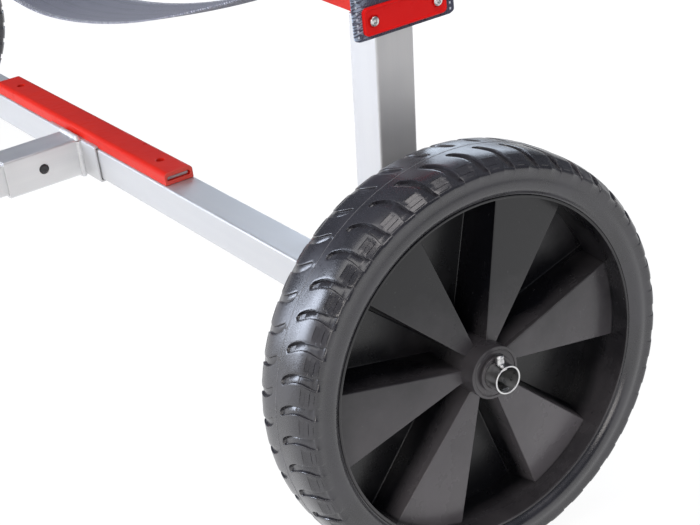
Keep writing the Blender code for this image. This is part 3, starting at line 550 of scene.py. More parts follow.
def hex_rings(radius, height, way):
    """Rings of a hexagon from x = 0 to its end at x = way * height, where its corners are turned down."""
    angles = 2 * math.pi * np.arange(72) / 72
    off_flat = np.mod(angles, math.pi / 3) - math.pi / 6
    hexagon = radius * (math.cos(math.pi / 6) / np.cos(off_flat))
    limits = ((0.0, radius), (height - 0.0012, radius), (height - 0.0006, 0.96 * radius), (height, 0.90 * radius))
    return [at_x(polar(np.minimum(hexagon, limit), angles), way * x) for x, limit in limits]


def hex_bolt(name, length, place, side=1):
    """Head below x = 0 with a dished top, washer face, shank to x = length with a chamfered tip."""
    rings = turned([(-bolt_head + 0.0004, 0.45 * bolt_radius), (-bolt_head, 0.62 * bolt_radius)], 72)
    rings += hex_rings(bolt_radius, bolt_head, -1)[::-1]
    rings += turned([(0.0, bolt_shank), (length - 0.0008, bolt_shank), (length, 0.78 * bolt_shank)], 72)
    piece(name, "steel", (rings, False), place=place, side=side, flats=False)


def hex_nut(name, place, side=1):
    rings = hex_rings(bolt_radius, nut_height, 1)
    rings += turned([(nut_height, nut_bore + 0.0006), (nut_height - 0.0006, nut_bore), (0.0, nut_bore)], 72)
    piece(name, "steel", (rings, True), place=place, side=side, flats=False)


def pan_screw(name, head, height, shank, length, place, side=1, socket=0.34):
    """A domed head below x = 0 with a six-lobed socket, and its shank above."""
    steps = 48
    angles = 2 * math.pi * np.arange(steps) / steps
    inner = socket * head * (1 - 0.13 * (1 + np.cos(6 * angles)) / 2)
    full = np.full(steps, head)
    rows = [(inner * 0.55, -0.08 * height), (inner * 0.86, -0.16 * height), (inner, -height + 0.0001)]
    rows.append((inner + 0.0002, -height))
    for share in (0.55, 0.75, 0.88, 0.96, 1.0):
        drop = 1 - math.sqrt(max(0.0, 1 - (share - 0.3) ** 2 / 0.55))
        rows.append((full * share, -height * (1 - 0.75 * drop)))
    rows += [(full, -0.0002), (full - 0.0002, 0.0)]
    rings = [at_x(polar(radii, angles), x) for radii, x in rows]
    rings += turned([(0.0, shank), (length, shank)], steps)
    piece(name, "steel", (rings, False), place=place, side=side, flats=False)


# ---------------------------------------------------------------- beam, tee and keel pad
def tube(side_length, wall, start, end, inner_corner=0.0010, mouth=None):
    inner = side_length - 2 * wall
    outer, hole = rectangle(side_length, side_length, tube_corner), rectangle(inner, inner, inner_corner)
    return prism(outer, start, end, hole, mouth=mouth)


def weld_line(side_length):
    """Points once round a square tube."""
    line = rectangle(side_length, side_length, tube_corner, steps=5)(0)
    return np.concatenate([line, line[:1]])


def padding(start, end, ease=0.0006):
    """A length of the red extrusion, with its slot."""
    outer = rectangle(pad_width, pad_height, 0.0052, 0.0012, 8, (0, pad_height / 2))
    slot = rectangle(0.0278, slot_height, 0.0019, None, 8, (0, slot_low + slot_height / 2))
    return prism(outer, start, end, slot, ease)


def strip(start, end):
    """A length of the flat bar that lies in the slot."""
    shape = rectangle(0.0260, strip_thickness, 0.0005, None, 6, (0, slot_low + gap + strip_thickness / 2))
    return prism(shape, start, end, None, 0.0002)


def build_beam():
    piece("cross_beam", "bar_x", tube(tube_side, tube_wall, -beam_half, beam_half))
    piece("tee_sleeve", "bar_x", tube(sleeve_side, sleeve_wall, -sleeve_half, sleeve_half, 0.0008, 0.0014))
    start = sleeve_side / 2 + gap
    hole = eased_hole(0.0060, 0.006), ROOT @ shift(socket_side / 2, -button_reach)
    socket = tube(socket_side, socket_wall, -socket_front, -start, 0.0008, 0.0014)
    piece("drawbar_socket", "bar_y", socket, place=ROOT @ LENGTHWISE, cuts=[hole])
    ring = [(x, -start - 0.0010, z) for x, z in weld_line(socket_side + 0.0006)]
    weld_bead("socket_weld", ring, 0.0034, ripple=0.0030)

    quarter = Matrix.Rotation(-math.pi / 2, 4, "Z")
    hex_bolt("tee_bolt", 2 * start + bolt_rest, ROOT @ shift(0, start) @ quarter)
    hex_nut("tee_nut", ROOT @ shift(0, -start) @ quarter)


def build_keel_pad():
    place = ROOT @ shift(0, 0, beam_top)
    relief, depth = sleeve_half + 2 * gap, sleeve_side / 2 + gap - beam_top
    low = at_x(np.array([(-0.03, -0.01), (0.03, -0.01), (0.03, depth), (-0.03, depth)]), -relief)
    cuts = [(([low, low * (-1, 1, 1)], False), place)]
    offset = keel_pad_half - access_inset
    for side, word in SIDES:
        cuts.append((eased_hole(0.0050, 0.0075, 0.0006), place @ shift(side * offset, 0, pad_height) @ UPWARD))
    piece("keel_pad", "keel_pad", padding(-keel_pad_half, keel_pad_half, 0.0007), place=place, cuts=cuts)
    piece("keel_strip", "bar_x", strip(-keel_pad_half + 0.0040, keel_pad_half - 0.0040), place=place)
    at = place @ shift(offset, 0, slot_low + gap + strip_thickness + gap) @ DOWNWARD
    for side, word in SIDES:
        pan_screw("keel_pad_screw_" + word, 0.0044, 0.0024, 0.0024, 0.0155, at, side)


# ---------------------------------------------------------------- uprights, heads and sling
def build_upright(side, word):
    up = Vector((math.sin(upright_splay), 0, math.cos(upright_splay)))
    run = Vector((splay_run, rake_run, 1))

    def level(shape, z):
        return np.array([(upright_offset + splay_run * z + a, rake_run * z + b, z) for a, b in shape])

    def topped(shape, drop=0.0):
        """The shape where the tube meets the plane under its head."""
        points = []
        for a, b in shape:
            start = Vector((upright_offset + a, b, 0))
            z = ((head_at - start).dot(up) - gap - drop) / run.dot(up)
            points.append(start + z * run)
        return np.array(points)

    outer = rectangle(upright_width, upright_depth, tube_corner)
    inner = rectangle(upright_width - 2 * upright_wall, upright_depth - 2 * upright_wall, 0.001)
    rings = [level(outer(0), beam_top), topped(outer(0), 0.0004), topped(outer(0.0003)), topped(inner(-0.0003))]
    rings += [topped(inner(0), 0.0004), level(inner(0), beam_top)]
    piece("upright_" + word, "bar_z", (rings, True), side=side)
    half, z = upright_depth / 2 - 0.0015, beam_top + 0.0012
    for end, name in ((1, "outer"), (-1, "inner")):
        x = upright_offset + end * (upright_width / 2 + 0.0004)
        weld_bead("upright_weld_%s_%s" % (name, word), [(x, -half, z), (x, half, z)], 0.0022, side=side)


def build_head(side, word):
    wall_x = upright_width / 2 + gap
    pad = padding(-head_pad_inner, upright_width / 2)
    piece("head_pad_" + word, "pad", pad, place=HEAD, side=side)

    shape = rectangle(0.094, 0.0245, 0.002, None, 6, (0.0074, (0.0140 - 0.0105) / 2))
    plate = prism(shape, wall_x, wall_x + bracket_thickness, None, 0.0003)
    tongue = strip(-head_pad_inner + 0.0015, wall_x + 0.0008)
    piece("head_bracket_" + word, "bar_x", plate, tongue, place=HEAD, side=side)

    face = wall_x + bracket_thickness + gap + sling_thickness + gap
    thick, rim = clamp_thickness, clamp_rim
    shape = rectangle(clamp_width, clamp_height, 0.0045, None, 8, clamp_middle)
    profile = [(0.0002, 0.0), (0.0, 0.0002), (0.0, thick - 0.0010), (0.0001, thick - 0.0006)]
    profile += [(0.0004, thick - 0.0002), (0.0008, thick), (rim - 0.0002, thick), (rim + 0.0002, thick - 0.0002)]
    profile += [(rim + 0.0004, thick - 0.0006), (rim + 0.0007, thick - 0.0008)]
    rings = [at_x(shape(inset), face + x) for inset, x in profile]
    pitch = clamp_width - 2 * clamp_screw_inset
    ends = [(end, clamp_middle[0] + end * pitch / 2) for end in (-1, 1)]
    cuts = []
    for end, y in ends:
        mouth = HEAD @ shift(face + thick - 0.0008, y, clamp_middle[1])
        cuts.append((eased_hole(0.0052, 0.0016, 0.0003), mouth))
    piece("clamp_plate_" + word, "plate", (rings, False), place=HEAD, side=side, cuts=cuts)
    for end, y in ends:
        at = HEAD @ shift(face + thick + gap - 0.0004, y, clamp_middle[1]) @ Matrix.Rotation(math.pi, 4, "Z")
        name = "clamp_screw_%s_%s" % (word, "front" if end < 0 else "rear")
        pan_screw(name, 0.0041, 0.0021, 0.0024, 0.0140, at, side, 0.46)


def sling_line():
    """Points (x, z) of half the sling's middle plane, outward, and the height where its bend starts."""
    tip = Matrix.Rotation(upright_splay, 3, "Y")
    outside = upright_width / 2 + gap + bracket_thickness + gap + sling_thickness / 2
    lean = math.radians(20)

    def tipped(x, z):
        place = head_at + tip @ Vector((x, 0, z))
        return place.x, place.z

    def bent(angle):
        x = outside - sling_bend + sling_bend * math.cos(angle)
        return tipped(x, sling_stand + sling_bend * math.sin(angle))

    def climb(x):
        return math.hypot(x, sling_bow) ** sling_climb - sling_bow**sling_climb

    for _ in range(8):
        end_x, end_z = bent(math.pi / 2 + lean)
        rise = (end_z - sling_low) / climb(end_x)
        steep = rise * sling_climb * end_x * math.hypot(end_x, sling_bow) ** (sling_climb - 2)
        lean = math.atan(steep) + upright_splay
    run = [end_x * step / 150 for step in range(150)]
    points = [(x, sling_low + rise * climb(x)) for x in run]
    points += [bent((math.pi / 2 + lean) * (1 - step / 28)) for step in range(28)]
    points += [tipped(outside, z) for z in np.linspace(sling_stand, -sling_drop, 30)]
    return np.array(points), end_z


def build_sling():
    right, high = sling_line()
    path = np.concatenate([right[:0:-1] * (-1, 1), right])
    run = np.gradient(path, axis=0)
    run /= np.linalg.norm(run, axis=1)[:, None]
    length = np.concatenate([[0], np.cumsum(np.linalg.norm(np.diff(path, axis=0), axis=1))])
    off_middle = np.abs(path[:, 0])
    fall = high - sling_low
    sag = np.clip(np.where(off_middle < upright_offset - 0.02, (high - path[:, 1]) / fall, 0.0), 0, 1)
    tilt, still = slope * sag, np.zeros(len(path))
    centre = rake_run * head_height + 0.0074
    middle = np.stack([path[:, 0], centre - sag * fall * math.tan(slope), path[:, 1]], axis=1)
    across = np.stack([still, np.cos(tilt), -np.sin(tilt)], axis=1)
    out = np.stack([-run[:, 1], still, run[:, 0]], axis=1)

    # One section, once round: (across, height, metres across for the weave).
    half_width, half = sling_width / 2, sling_thickness / 2
    inside, tip = half_width - 0.0012, half_width - 0.0004
    columns = np.concatenate([[-tip], np.linspace(-inside, inside, 66), [tip]])
    # Narrow grooves between the strap's panels, and bound edges.
    grooves = sum(np.exp(-(((columns - c) / 0.0009) ** 2)) for c in (-0.030, -0.010, 0.010, 0.030))
    bound = np.exp(-(((np.abs(columns) - (half_width - 0.0032)) / 0.0006) ** 2))
    surface = half + (-0.00030 * grooves - 0.00018 * bound)
    top = np.stack([columns, surface, columns], axis=1)
    edge = np.array([(half_width, 0.45 * half, half_width), (half_width, -0.45 * half, half_width)])
    section = np.concatenate([top, edge, top[::-1] * (1, -1, 1), edge[::-1] * (-1, 1, -1)])
    section[:, 1] = np.clip(section[:, 1], -half, half)

    from_end = np.minimum(length, length[-1] - length)
    corner = 0.0050
    reach = np.clip(corner - from_end, 0, corner)
    limit = half_width - corner + np.sqrt(corner**2 - reach**2)
    wide = np.clip(section[None, :, 0], -limit[:, None], limit[:, None])
    cup = (0.0010 + 0.0030 * smooth(off_middle, 0.20, 0.42)) * (1 - smooth(off_middle, 0.42, 0.60))
    dish = cup[:, None] * ((wide / half_width) ** 2 - 0.6)
    lift = section[None, :, 1] + dish
    grid = middle[:, None, :] + across[:, None, :] * wide[:, :, None] + out[:, None, :] * lift[:, :, None]
    points, faces = skin(list(grid), False)
    obj = shown("sling_webbing", points, faces, webbing(float(length[-1])))
    layer = obj.data.uv_layers.new(name="strap")
    count = len(section)
    index = np.zeros(len(obj.data.loops), np.int32)
    obj.data.loops.foreach_get("vertex_index", index)
    places = np.stack([section[index % count, 2], length[index // count]], axis=1)
    layer.data.foreach_set("uv", places.astype(np.float32).ravel())
    finish_piece(obj, "frame", ["sling"], flats=False)


# ---------------------------------------------------------------- axle
def build_axle(side, word):
    axle = prism(disc(axle_radius, 64), beam_half - axle_inside, axle_end, disc(axle_bore_radius, 64))
    hole = eased_hole(0.0040, 0.006, 0.0002), ROOT @ shift(pin_offset, 0, axle_radius) @ UPWARD
    piece("stub_axle_" + word, "steel", axle, side=side, flats=False, cuts=[hole])

    bore = axle_radius + gap
    square = rectangle(tube_side, tube_side, tube_corner)
    hole = disc(bore, 28, math.radians(-45))
    start = beam_half + gap
    flange = prism(square, start, start + flange_thickness, hole)
    piece("axle_bush_flange_" + word, "nylon", flange, side=side, nodes=["axle_bush_outer_" + word])
    start = beam_half + gap + flange_thickness + gap
    spacer = prism(disc(bore + spacer_wall, 64), start, start + spacer_length, disc(bore, 64), 0.0006)
    piece("axle_spacer_" + word, "nylon", spacer, side=side, flats=False)

    offset = beam_half - 0.078
    at = ROOT @ shift(offset, 0, beam_top) @ DOWNWARD
    hex_bolt("axle_bolt_" + word, 2 * beam_top + bolt_rest, at, side)
    hex_nut("axle_nut_" + word, ROOT @ shift(offset, 0, -beam_top) @ DOWNWARD, side)

    flange_top = math.sqrt(axle_bore_radius**2 - pin_flange**2) - gap
    top, r = axle_radius + 0.0077, pin_radius
    profile = [(flange_top - 0.0018, pin_flange), (flange_top, pin_flange), (flange_top, r), (top - 0.0046, r)]
    profile += [(top - 0.0040, 0.90 * r), (top - 0.0034, 0.90 * r), (top - 0.0029, r), (top - 0.0013, r)]
    profile += [(top - 0.0006, 0.90 * r), (top - 0.0002, 0.68 * r), (top, 0.35 * r)]
    name, at = "axle_pin_" + word, ROOT @ shift(pin_offset) @ UPWARD
    piece(name, "steel", (turned(profile, 40), False), place=at, side=side, body=name, flats=False)


# ---------------------------------------------------------------- tyres
# Angles are in degrees and lengths in mm. One pitch of the tread is a groove and a land.
pitch_count = 44
pitch = 360 / pitch_count
tread_half = 40.2
crown_drop, crown_power = 10.5, 3.8
bead_radius = 151.3
# Both edges of a groove: (distance from the tread's middle, angle)
upper_edge = ((3.0, -0.25), (3.3, -0.62), (4.0, -1.05), (5.0, -1.55), (6.5, -2.0), (11.8, -3.1), (17.5, -3.9),
              (24.4, -4.25), (30.4, -4.4), (35.3, -4.5), (38.6, -4.95), (42.0, -5.2))
lower_edge = ((3.0, -0.25), (3.3, 0.08), (4.0, 0.30), (5.0, 0.42), (6.0, 0.35), (11.9, -0.65), (17.6, -1.5),
              (23.2, -2.0), (27.8, -2.05), (32.2, -1.85), (36.0, -1.5), (38.8, -1.4), (42.0, -1.35))
# Rows over one groove: (share of the groove's width, angle beyond that, depth)
groove_rows = ((0.0, -0.14, 0.0), (0.0, 0.0, -0.10), (0.0, 0.04, -0.5), (0.0, 0.12, -3.1), (0.17, 0.08, -3.0),
               (0.30, 0.0, -2.2), (1.0, -0.17, -2.1), (1.0, -0.10, -0.9), (1.0, -0.02, -0.18), (1.0, 0.10, 0.0))
groove_count, land_count = len(groove_rows), 9
row_count = groove_count + land_count
land_share = np.array([0.0] * (groove_count + 1) + [1.0] * (land_count - 2) + [0.5])
near_phase, far_phase = 0.26, 3.2
# Borders of the flat bands at a land's outer end.
band_borders = (27.4, 31.2, 34.9, 38.2)
# Columns from the tread's middle out: their distances, then (u, r, distance) and (u, r) down the wall.
tread_columns = (
    0, 1.2, 2.2, 2.8, 3.05, 3.3, 3.6, 4.0, 4.5, 5.1, 5.8, 6.6, 7.6, 8.8, 10.2, 11.8, 13.4, 15, 16.6, 18.2, 19.8,
    21.4, 23, 24.6, 26.0, 27.0, 27.12, 27.4, 27.68, 27.8, 29.4, 30.8, 30.92, 31.19, 31.48, 31.6, 33.2, 34.5,
    34.62, 34.89, 35.18, 35.3, 36.5, 37.8, 37.92, 38.19, 38.48, 38.8
)
shoulder_columns = (39.25, 175.2, 39.3), (39.75, 174.4, 39.8), (40.05, 173.2, 40.2)
wall_columns = (
    (39.9, 171.8), (39.55, 170.2), (39.25, 168.6), (39.1, 167.1), (39.2, 165.7), (39.55, 164.2), (39.95, 162.6),
    (40.2, 160.8), (40.15, 159.0), (39.8, 157.4), (39.25, 156.1), (38.6, 155.1), (37.8, 154.2), (36.9, 153.4),
    (36.0, 152.6), (35.2, 151.8)
)


def table(points, value):
    return np.interp(value, [p[0] for p in points], [p[1] for p in points])


def smooth(value, low, high):
    t = np.clip((value - low) / (high - low), 0, 1)
    return t * t * (3 - 2 * t)


def crown(u):
    return wheel_radius * 1000 - crown_drop * (abs(u) / tread_half) ** crown_power


def tread_rows(m):
    """Angles and depths of one pitch's rows, at m from the tread's middle."""
    up, low = table(upper_edge, m), table(lower_edge, m)
    width = low - up
    squeeze = min(1.0, width / 1.1)
    angles = [up + share * width + beyond * squeeze for share, beyond, _ in groove_rows]
    first, last = angles[0] + pitch, angles[-1]
    angles += [last + (first - last) * k / (land_count + 1) for k in range(1, land_count + 1)]
    depths = [depth for _, _, depth in groove_rows] + [0.0] * land_count
    deep = smooth(m, 2.9, 5.0) * (1 - 0.30 * smooth(m, 30, 36)) * (1 - 0.80 * smooth(m, 36.5, 40.0))
    return np.array(angles), np.array(depths) * deep


def sipe_depth(m):
    """Three flat bands along each land's outer end, all at one slope, with fine cuts at their borders."""
    depth = 0.0
    for start, end in zip(band_borders, band_borders[1:]):
        if start < m <= end:
            depth = 0.87 * (crown(m) - crown(start) + 0.70 * (m - start))
    return depth + sum(0.45 * max(0.0, 1 - abs(m - border) / 0.28) for border in band_borders)


def tyre_rings():
    """The right tyre's rings about the X axis, in metres, from one bead to the other."""
    starts = np.arange(pitch_count) * pitch
    first_row = tread_rows(3.0)[0]
    middle = near_phase + float(first_row[0]) + np.arange(pitch_count * row_count) * pitch / row_count
    turn = round((far_phase - first_row[groove_count - 1] - middle[0]) / (pitch / row_count))
    # The far half's rows run the other way.
    order = list(range(groove_count))[::-1] + list(range(groove_count, row_count))[::-1]
    near_land = np.tile(land_share, pitch_count)
    far_land = np.roll(np.tile(np.roll(land_share[::-1], groove_count), pitch_count), turn)

    def column(m, near):
        angles, depths = tread_rows(max(m, 3.0))
        if near:
            angles = (near_phase + starts[:, None] + angles[None, :]).ravel()
            deep = np.tile(depths, pitch_count)
        else:
            angles = far_phase + starts[:, None] - angles[None, order]
            angles[:, groove_count:] += pitch
            angles, deep = np.roll(angles.ravel(), turn), np.roll(np.tile(depths[order], pitch_count), turn)
            angles[:turn] -= 360.0
            deep = deep * 0.75
        if m < 3.0:
            angles = middle + (angles - middle) * smooth(m, 0.0, 3.0)
            deep = deep * 0
        return np.radians(angles), deep

    def half_tyre(near):
        """(u, r, angles) of each column, from the tread's middle to the bead."""
        made = []
        for u, r, m in [(u, crown(u), u) for u in tread_columns] + list(shoulder_columns):
            normal = (0.75, 0.66)
            if u < shoulder_columns[0][0]:
                steep = crown_drop * crown_power * (u / tread_half) ** (crown_power - 1) / tread_half
                normal = np.array([steep, 1.0]) / math.hypot(steep, 1.0)
                # The far half's crescents start a little further out than the near half's.
                if not near and m < 6.7:
                    m = min(m, 2.99)
                elif not near:
                    m = 3.0 + (m - 6.7) * (tread_half - 3.0) / (tread_half - 6.7)
            angles, deep = column(m, near)
            deep = deep - sipe_depth(m) * (near_land if near else far_land)
            made.append((u + normal[0] * deep, r + normal[1] * deep, angles))
        angles, deep = column(tread_half, near)
        for k, (u, r) in enumerate(wall_columns):
            fade, rest = max(0.0, 1 - (k + 1) / 4), smooth(k, 2, 10)
            made.append((u + deep * 0.55 * fade, r, angles * (1 - rest) + np.radians(middle) * rest))
        return [(u if near else -u, r, a) for u, r, a in made]

    rings = []
    inside = [(u, bead_radius, np.radians(middle)) for u in (-35.0, 35.0)]
    for u, r, a in half_tyre(True)[::-1] + half_tyre(False)[1:] + inside:
        u, r, a = np.broadcast_arrays(u, r, a)
        rings.append(np.stack([u, r * np.cos(a), r * np.sin(a)], axis=1) / 1000)
    return rings


def build_tyre(side, word):
    where = {"place": ROOT @ shift(wheel_offset), "side": side, "body": "wheel_" + word, "flats": False}
    tread = piece("tyre_%s_tread" % word, "tyre", (tyre_rings(), True), nodes=["tyre_" + word], **where)
    soften(tread.data, 50)
    # The fine moulding line round the tread, a little off its middle, with pale tones as a painted highlight.
    profile = [(-m / 1000, crown(m) / 1000 + rise) for m, rise in ((3.1, -0.0002), (2.9, 0.00025), (2.7, -0.0002))]
    piece("tyre_%s_line" % word, "tyre_line", (turned(profile, 360), True), nodes=(), **where)


# ---------------------------------------------------------------- rims
def disc_ring(radius, front):
    """One ring of the pleated disc: six blades stand forward and six lie back, with rounded folds."""
    share = (radius - hub_radius) / (barrel_radius - hub_radius)
    depth = web_depth_at_hub + share * (web_depth_at_rim - web_depth_at_hub)
    high, low, step = depth, -depth, 0.0
    if front:
        low += web_skin
    else:
        high, step = high - web_skin, web_wall
    near = radius * math.radians(14) - step
    far = radius * math.radians(16) - step
    half_period = radius * math.pi / 6
    fold = min(web_fold, 0.35 * near, 0.35 * (half_period - far))

    def folded(t, x, start, way):
        arc = [math.radians(start + way * k) for k in range(4)]
        return [(t + fold * math.cos(a), x + fold * math.sin(a)) for a in arc]

    half = [(t * (near - fold), high) for t in (0.0, 0.35, 0.7)]
    half += folded(near - fold, high - fold, 90, -30)
    half += [(near + (far - near) * t, high - fold + (low + 2 * fold - high) * t) for t in (0.33, 0.67)]
    half += folded(far + fold, low + fold, 180, 30)
    half += [(far + fold + (half_period - far - fold) * t, low) for t in (0.35, 0.7)]
    whole = half + [(half_period, low)] + [(2 * half_period - t, x) for t, x in reversed(half[1:])]
    points = []
    for blade in range(6):
        centre = math.radians(2.5) + blade * math.pi / 3
        for t, x in whole:
            angle = centre + t / radius
            points.append((x, radius * math.cos(angle), radius * math.sin(angle)))
    return np.array(points)


def build_rim(side, word):
    where = {"place": ROOT @ shift(wheel_offset), "side": side, "body": "wheel_" + word}
    radii = [0.0225, 0.0245, 0.027, 0.031, 0.037, 0.045, 0.058, 0.075, 0.095, 0.115, 0.132, 0.142, 0.1465, 0.1490]
    web = [disc_ring(r, True) for r in radii] + [disc_ring(r, False) for r in reversed(radii)]
    half, outer, inner = barrel_half, barrel_radius, barrel_radius - 0.0028
    profile = [(half - 0.0012, inner), (half - 0.0004, inner + 0.0003), (half, inner + 0.0010)]
    profile += [(half, outer - 0.0008), (half - 0.0003, outer - 0.0002), (half - 0.0010, outer)]
    profile += [(-x, r) for x, r in reversed(profile)]
    barrel = turned(profile + [(share * half, inner - 0.0002) for share in (-0.5, 0.5)], 192)
    fillet = [(0.0011, 0.0145), (0.0006, 0.0147), (0.0003, 0.0150), (0.0003, 0.0196), (0.0006, 0.0199)]
    fillet += [(0.0006, 0.0205), (0.0, 0.0209), (0.0, 0.0226), (0.0003, 0.0232), (0.0010, hub_radius)]
    fillet = [(hub_half - inset, r) for inset, r in fillet]
    hub = turned([(-x, r) for x, r in fillet] + fillet[::-1], 96)
    piece("wheel_rim_" + word, "plastic", (web, True), (barrel, True), (hub, True), **where)
    face, seat = hub_half + gap, hub_half - 0.022
    bore, sleeve, flange = 0.0128, 0.0142, 0.0158
    profile = [(seat, sleeve), (face, sleeve), (face, flange - 0.0002), (face + 0.0003, flange)]
    profile += [(face + 0.0022, flange), (face + 0.0027, flange - 0.0003), (face + 0.0030, flange - 0.0009)]
    profile += [(face + 0.0030, bore + 0.0006), (face + 0.0026, bore), (seat, bore)]
    for end, spot in ((1, "outer"), (-1, "inner")):
        rings = turned([(end * x, r) for x, r in profile], 80)
        piece("hub_bush_%s_%s" % (spot, word), "plastic", (rings, True), flats=False, **where)


# ---------------------------------------------------------------- drawbar, handle and bow support
def build_drawbar():
    bar = tube(tube_side, tube_wall, -(handle_reach - 0.026 - gap), -0.0360)
    hole = eased_hole(0.0057, 0.006), ROOT @ shift(tube_half, -button_reach)
    piece("drawbar", "bar_y", bar, place=ROOT @ LENGTHWISE, cuts=[hole])

    flange_top = tube_half - tube_wall - gap
    tip, r = socket_side / 2 + 0.0008, 0.0054
    profile = [(flange_top - 0.003, 0.0072), (flange_top, 0.0072), (flange_top, r), (tip - 0.0014, r)]
    profile += [(tip - 0.0007, 0.93 * r), (tip - 0.0002, 0.80 * r), (tip, 0.62 * r), (tip - 0.0003, 0.40 * r)]
    rings = turned(profile + [(tip - 0.0004, 0.15 * r)], 48)
    at = ROOT @ shift(0, -button_reach)
    piece("drawbar_button", "plastic", (rings, False), place=at, body="drawbar_button", flats=False)


def build_handle():
    at = ROOT @ shift(0, -handle_reach)
    waist = tee_radius - 0.0006
    profile = [(-0.030, waist), (-0.0294, tee_radius), (-0.0255, tee_radius), (-0.0250, tee_radius - 0.0004)]
    profile += [(-0.0245, waist)]
    profile += [(x, waist) for x in (-0.0200, 0.0200)] + [(-x, r) for x, r in reversed(profile)]
    body = solid("handle_tee_fine", [(turned(profile, 64), False)], looks["plastic"], at)
    shank = prism(rectangle(tube_side, tube_side, tube_corner), 0.004, 0.026, None, 0.0008)
    plug = prism(rectangle(0.0314, 0.0314, 0.002), 0.020, 0.071, None, 0.0010)
    for part in (shank, plug):
        carve(body, part, at @ LENGTHWISE, operation="UNION")
    carve(body, (turned([(x, handle_radius + 0.0006) for x in (-0.05, 0.05)], 64), False), at)
    finish_piece(body, "frame", ["handle_tee"])

    bar = prism(disc(handle_radius, 64), -0.260, 0.260, disc(handle_radius - 0.002, 64))
    piece("handle_tube", "bar_x", bar, place=at, flats=False)
    pan_screw("handle_screw", 0.006, 0.003, 0.003, 0.0353, at @ shift(0, 0, tee_radius + gap) @ DOWNWARD)

    full, sleeve = 0.0200, 0.0163
    profile = [(0.2603, 0.3 * sleeve), (0.2603, sleeve), (grip_start, sleeve), (grip_start, full - 0.0006)]
    profile += [(0.1286, full), (0.1330, full), (0.1338, full - 0.0007)]
    rib = ((0, 0.0009), (0.0004, 0.0002), (0.0010, 0), (0.0018, 0), (0.0024, 0.0002), (0.0028, 0.0009))
    x = 0.1345
    while x < 0.2500:
        profile += [(x + along, full - deep) for along, deep in rib]
        x += 0.0040
    profile += [(0.2515, full - 0.0006), (0.2525, full), (0.2580, full), (0.2600, full - 0.0005)]
    profile += [(0.2615, full - 0.0016), (0.2625, full - 0.0035), (grip_end, full - 0.0060), (grip_end, 0.3 * sleeve)]
    for side, word in SIDES:
        piece("grip_" + word, "grip", (turned(profile, 64), True), place=at, side=side, flats=False)


def build_bow_support():
    at, body = ROOT @ shift(0, -bow_reach), "bow_support"
    collar = tube(sleeve_side, sleeve_wall, -0.040, 0.040, 0.0008)
    piece("bow_collar", "bar_y", collar, place=at @ LENGTHWISE, body=body, nodes=["bow_support"])
    seat, post_half, post_top = sleeve_side / 2, 0.015, 0.150
    post = tube(2 * post_half, 0.0025, seat, post_top)
    piece("bow_post", "bar_z", post, place=at @ UPWARD, body=body, nodes=())
    ring = [(x, y, seat + 0.0006) for x, y in weld_line(2 * (post_half + 0.0004))]
    weld_bead("bow_post_weld", ring, 0.0018, at, body=body)

    angle = math.radians(22)
    sine, cosine = math.sin(angle), math.cos(angle)
    reach, rise, lift = 0.105 * cosine, 0.105 * sine, strip_thickness / cosine
    vee = [(0, 0), (reach, rise), (reach - strip_thickness * sine, rise + strip_thickness * cosine), (0, lift)]
    vee += [(-x, z) for x, z in reversed(vee[1:3])]
    low = post_top - 0.0005
    rings = [np.array([(x, y, low + z) for x, z in vee]) for y in (-0.0130, 0.0130)]
    wings = solid("bow_wings", [(rings, False)], looks["bar_x"], at)
    edge = wings.modifiers.new("eased", "BEVEL")
    edge.width, edge.segments, edge.limit_method = 0.0004, 2, "ANGLE"
    bake(wings)
    finish_piece(wings, body)
    for end, spot in ((-1, "front"), (1, "rear")):
        path = [(x, end * 0.0132, low - 0.0002) for x in (-0.0145, 0.0145)]
        weld_bead("bow_wing_weld_" + spot, path, 0.0016, at, body=body)

    boss_end = seat + 0.006
    boss = [(seat - 0.001, 0.0080), (seat + 0.0054, 0.0080), (boss_end, 0.0074), (boss_end, 0.0046)]
    boss = turned(boss + [(seat - 0.001, 0.0046)], 48)
    piece("bow_boss", "weld", (boss, True), place=at, body=body, flats=False, nodes=())

    strip_low = slot_low + gap
    pad = padding((post_half + 0.0017 - strip_low * sine) / cosine, bow_pad_end)
    place = at @ shift(0, 0, low) @ Matrix.Rotation(-angle, 4, "Y") @ shift(0, 0, -strip_low)
    for side, word in SIDES:
        piece("bow_pad_" + word, "pad", pad, place=place, side=side, body=body)

    face, r, steps = seat + 0.006 + 0.002, 0.020, 120
    stem = [(tube_half + gap, 0.0034), (tube_half + gap + 0.0008, 0.004), (face, 0.004), (face, 0.0105)]
    rim = ((0.0048, 0.0012), (0.0054, 0.0004), (0.0064, 0.0), (0.0118, 0.0), (0.0130, 0.0005), (0.0138, 0.0018),
           (0.0140, 0.0035))
    rings = turned(stem + [(face + 0.0045, 0.0115)], steps)
    rings += turned([(face + x, r - inset) for x, inset in rim], steps,
                    lambda angles: 1 - 0.0035 / r * (1 - np.cos(5 * angles)) / 2)
    rings += turned([(face + 0.0140, 0.0125), (face + 0.0134, 0.0115), (face + 0.0134, 0.004)], steps)
    piece("bow_knob", "plastic", (rings, False), place=at, body="bow_knob", flats=False)


build_beam()
build_keel_pad()
for side, word in SIDES:
    build_upright(side, word)
    build_head(side, word)
    build_axle(side, word)
    build_tyre(side, word)
    build_rim(side, word)
build_sling()
build_drawbar()
build_handle()
build_bow_support()

# CAD nodes that stay shown keep their own shape and get the detailed finish.
kept = {"axle_bush_inner": "nylon", "axle_pin_spring": "steel", "drawbar_button_spring": "steel"}
for name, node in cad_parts.items():
    for start, look in kept.items():
        if name.startswith(start):
            node.data.materials.clear()
            node.data.materials.append(looks[look])

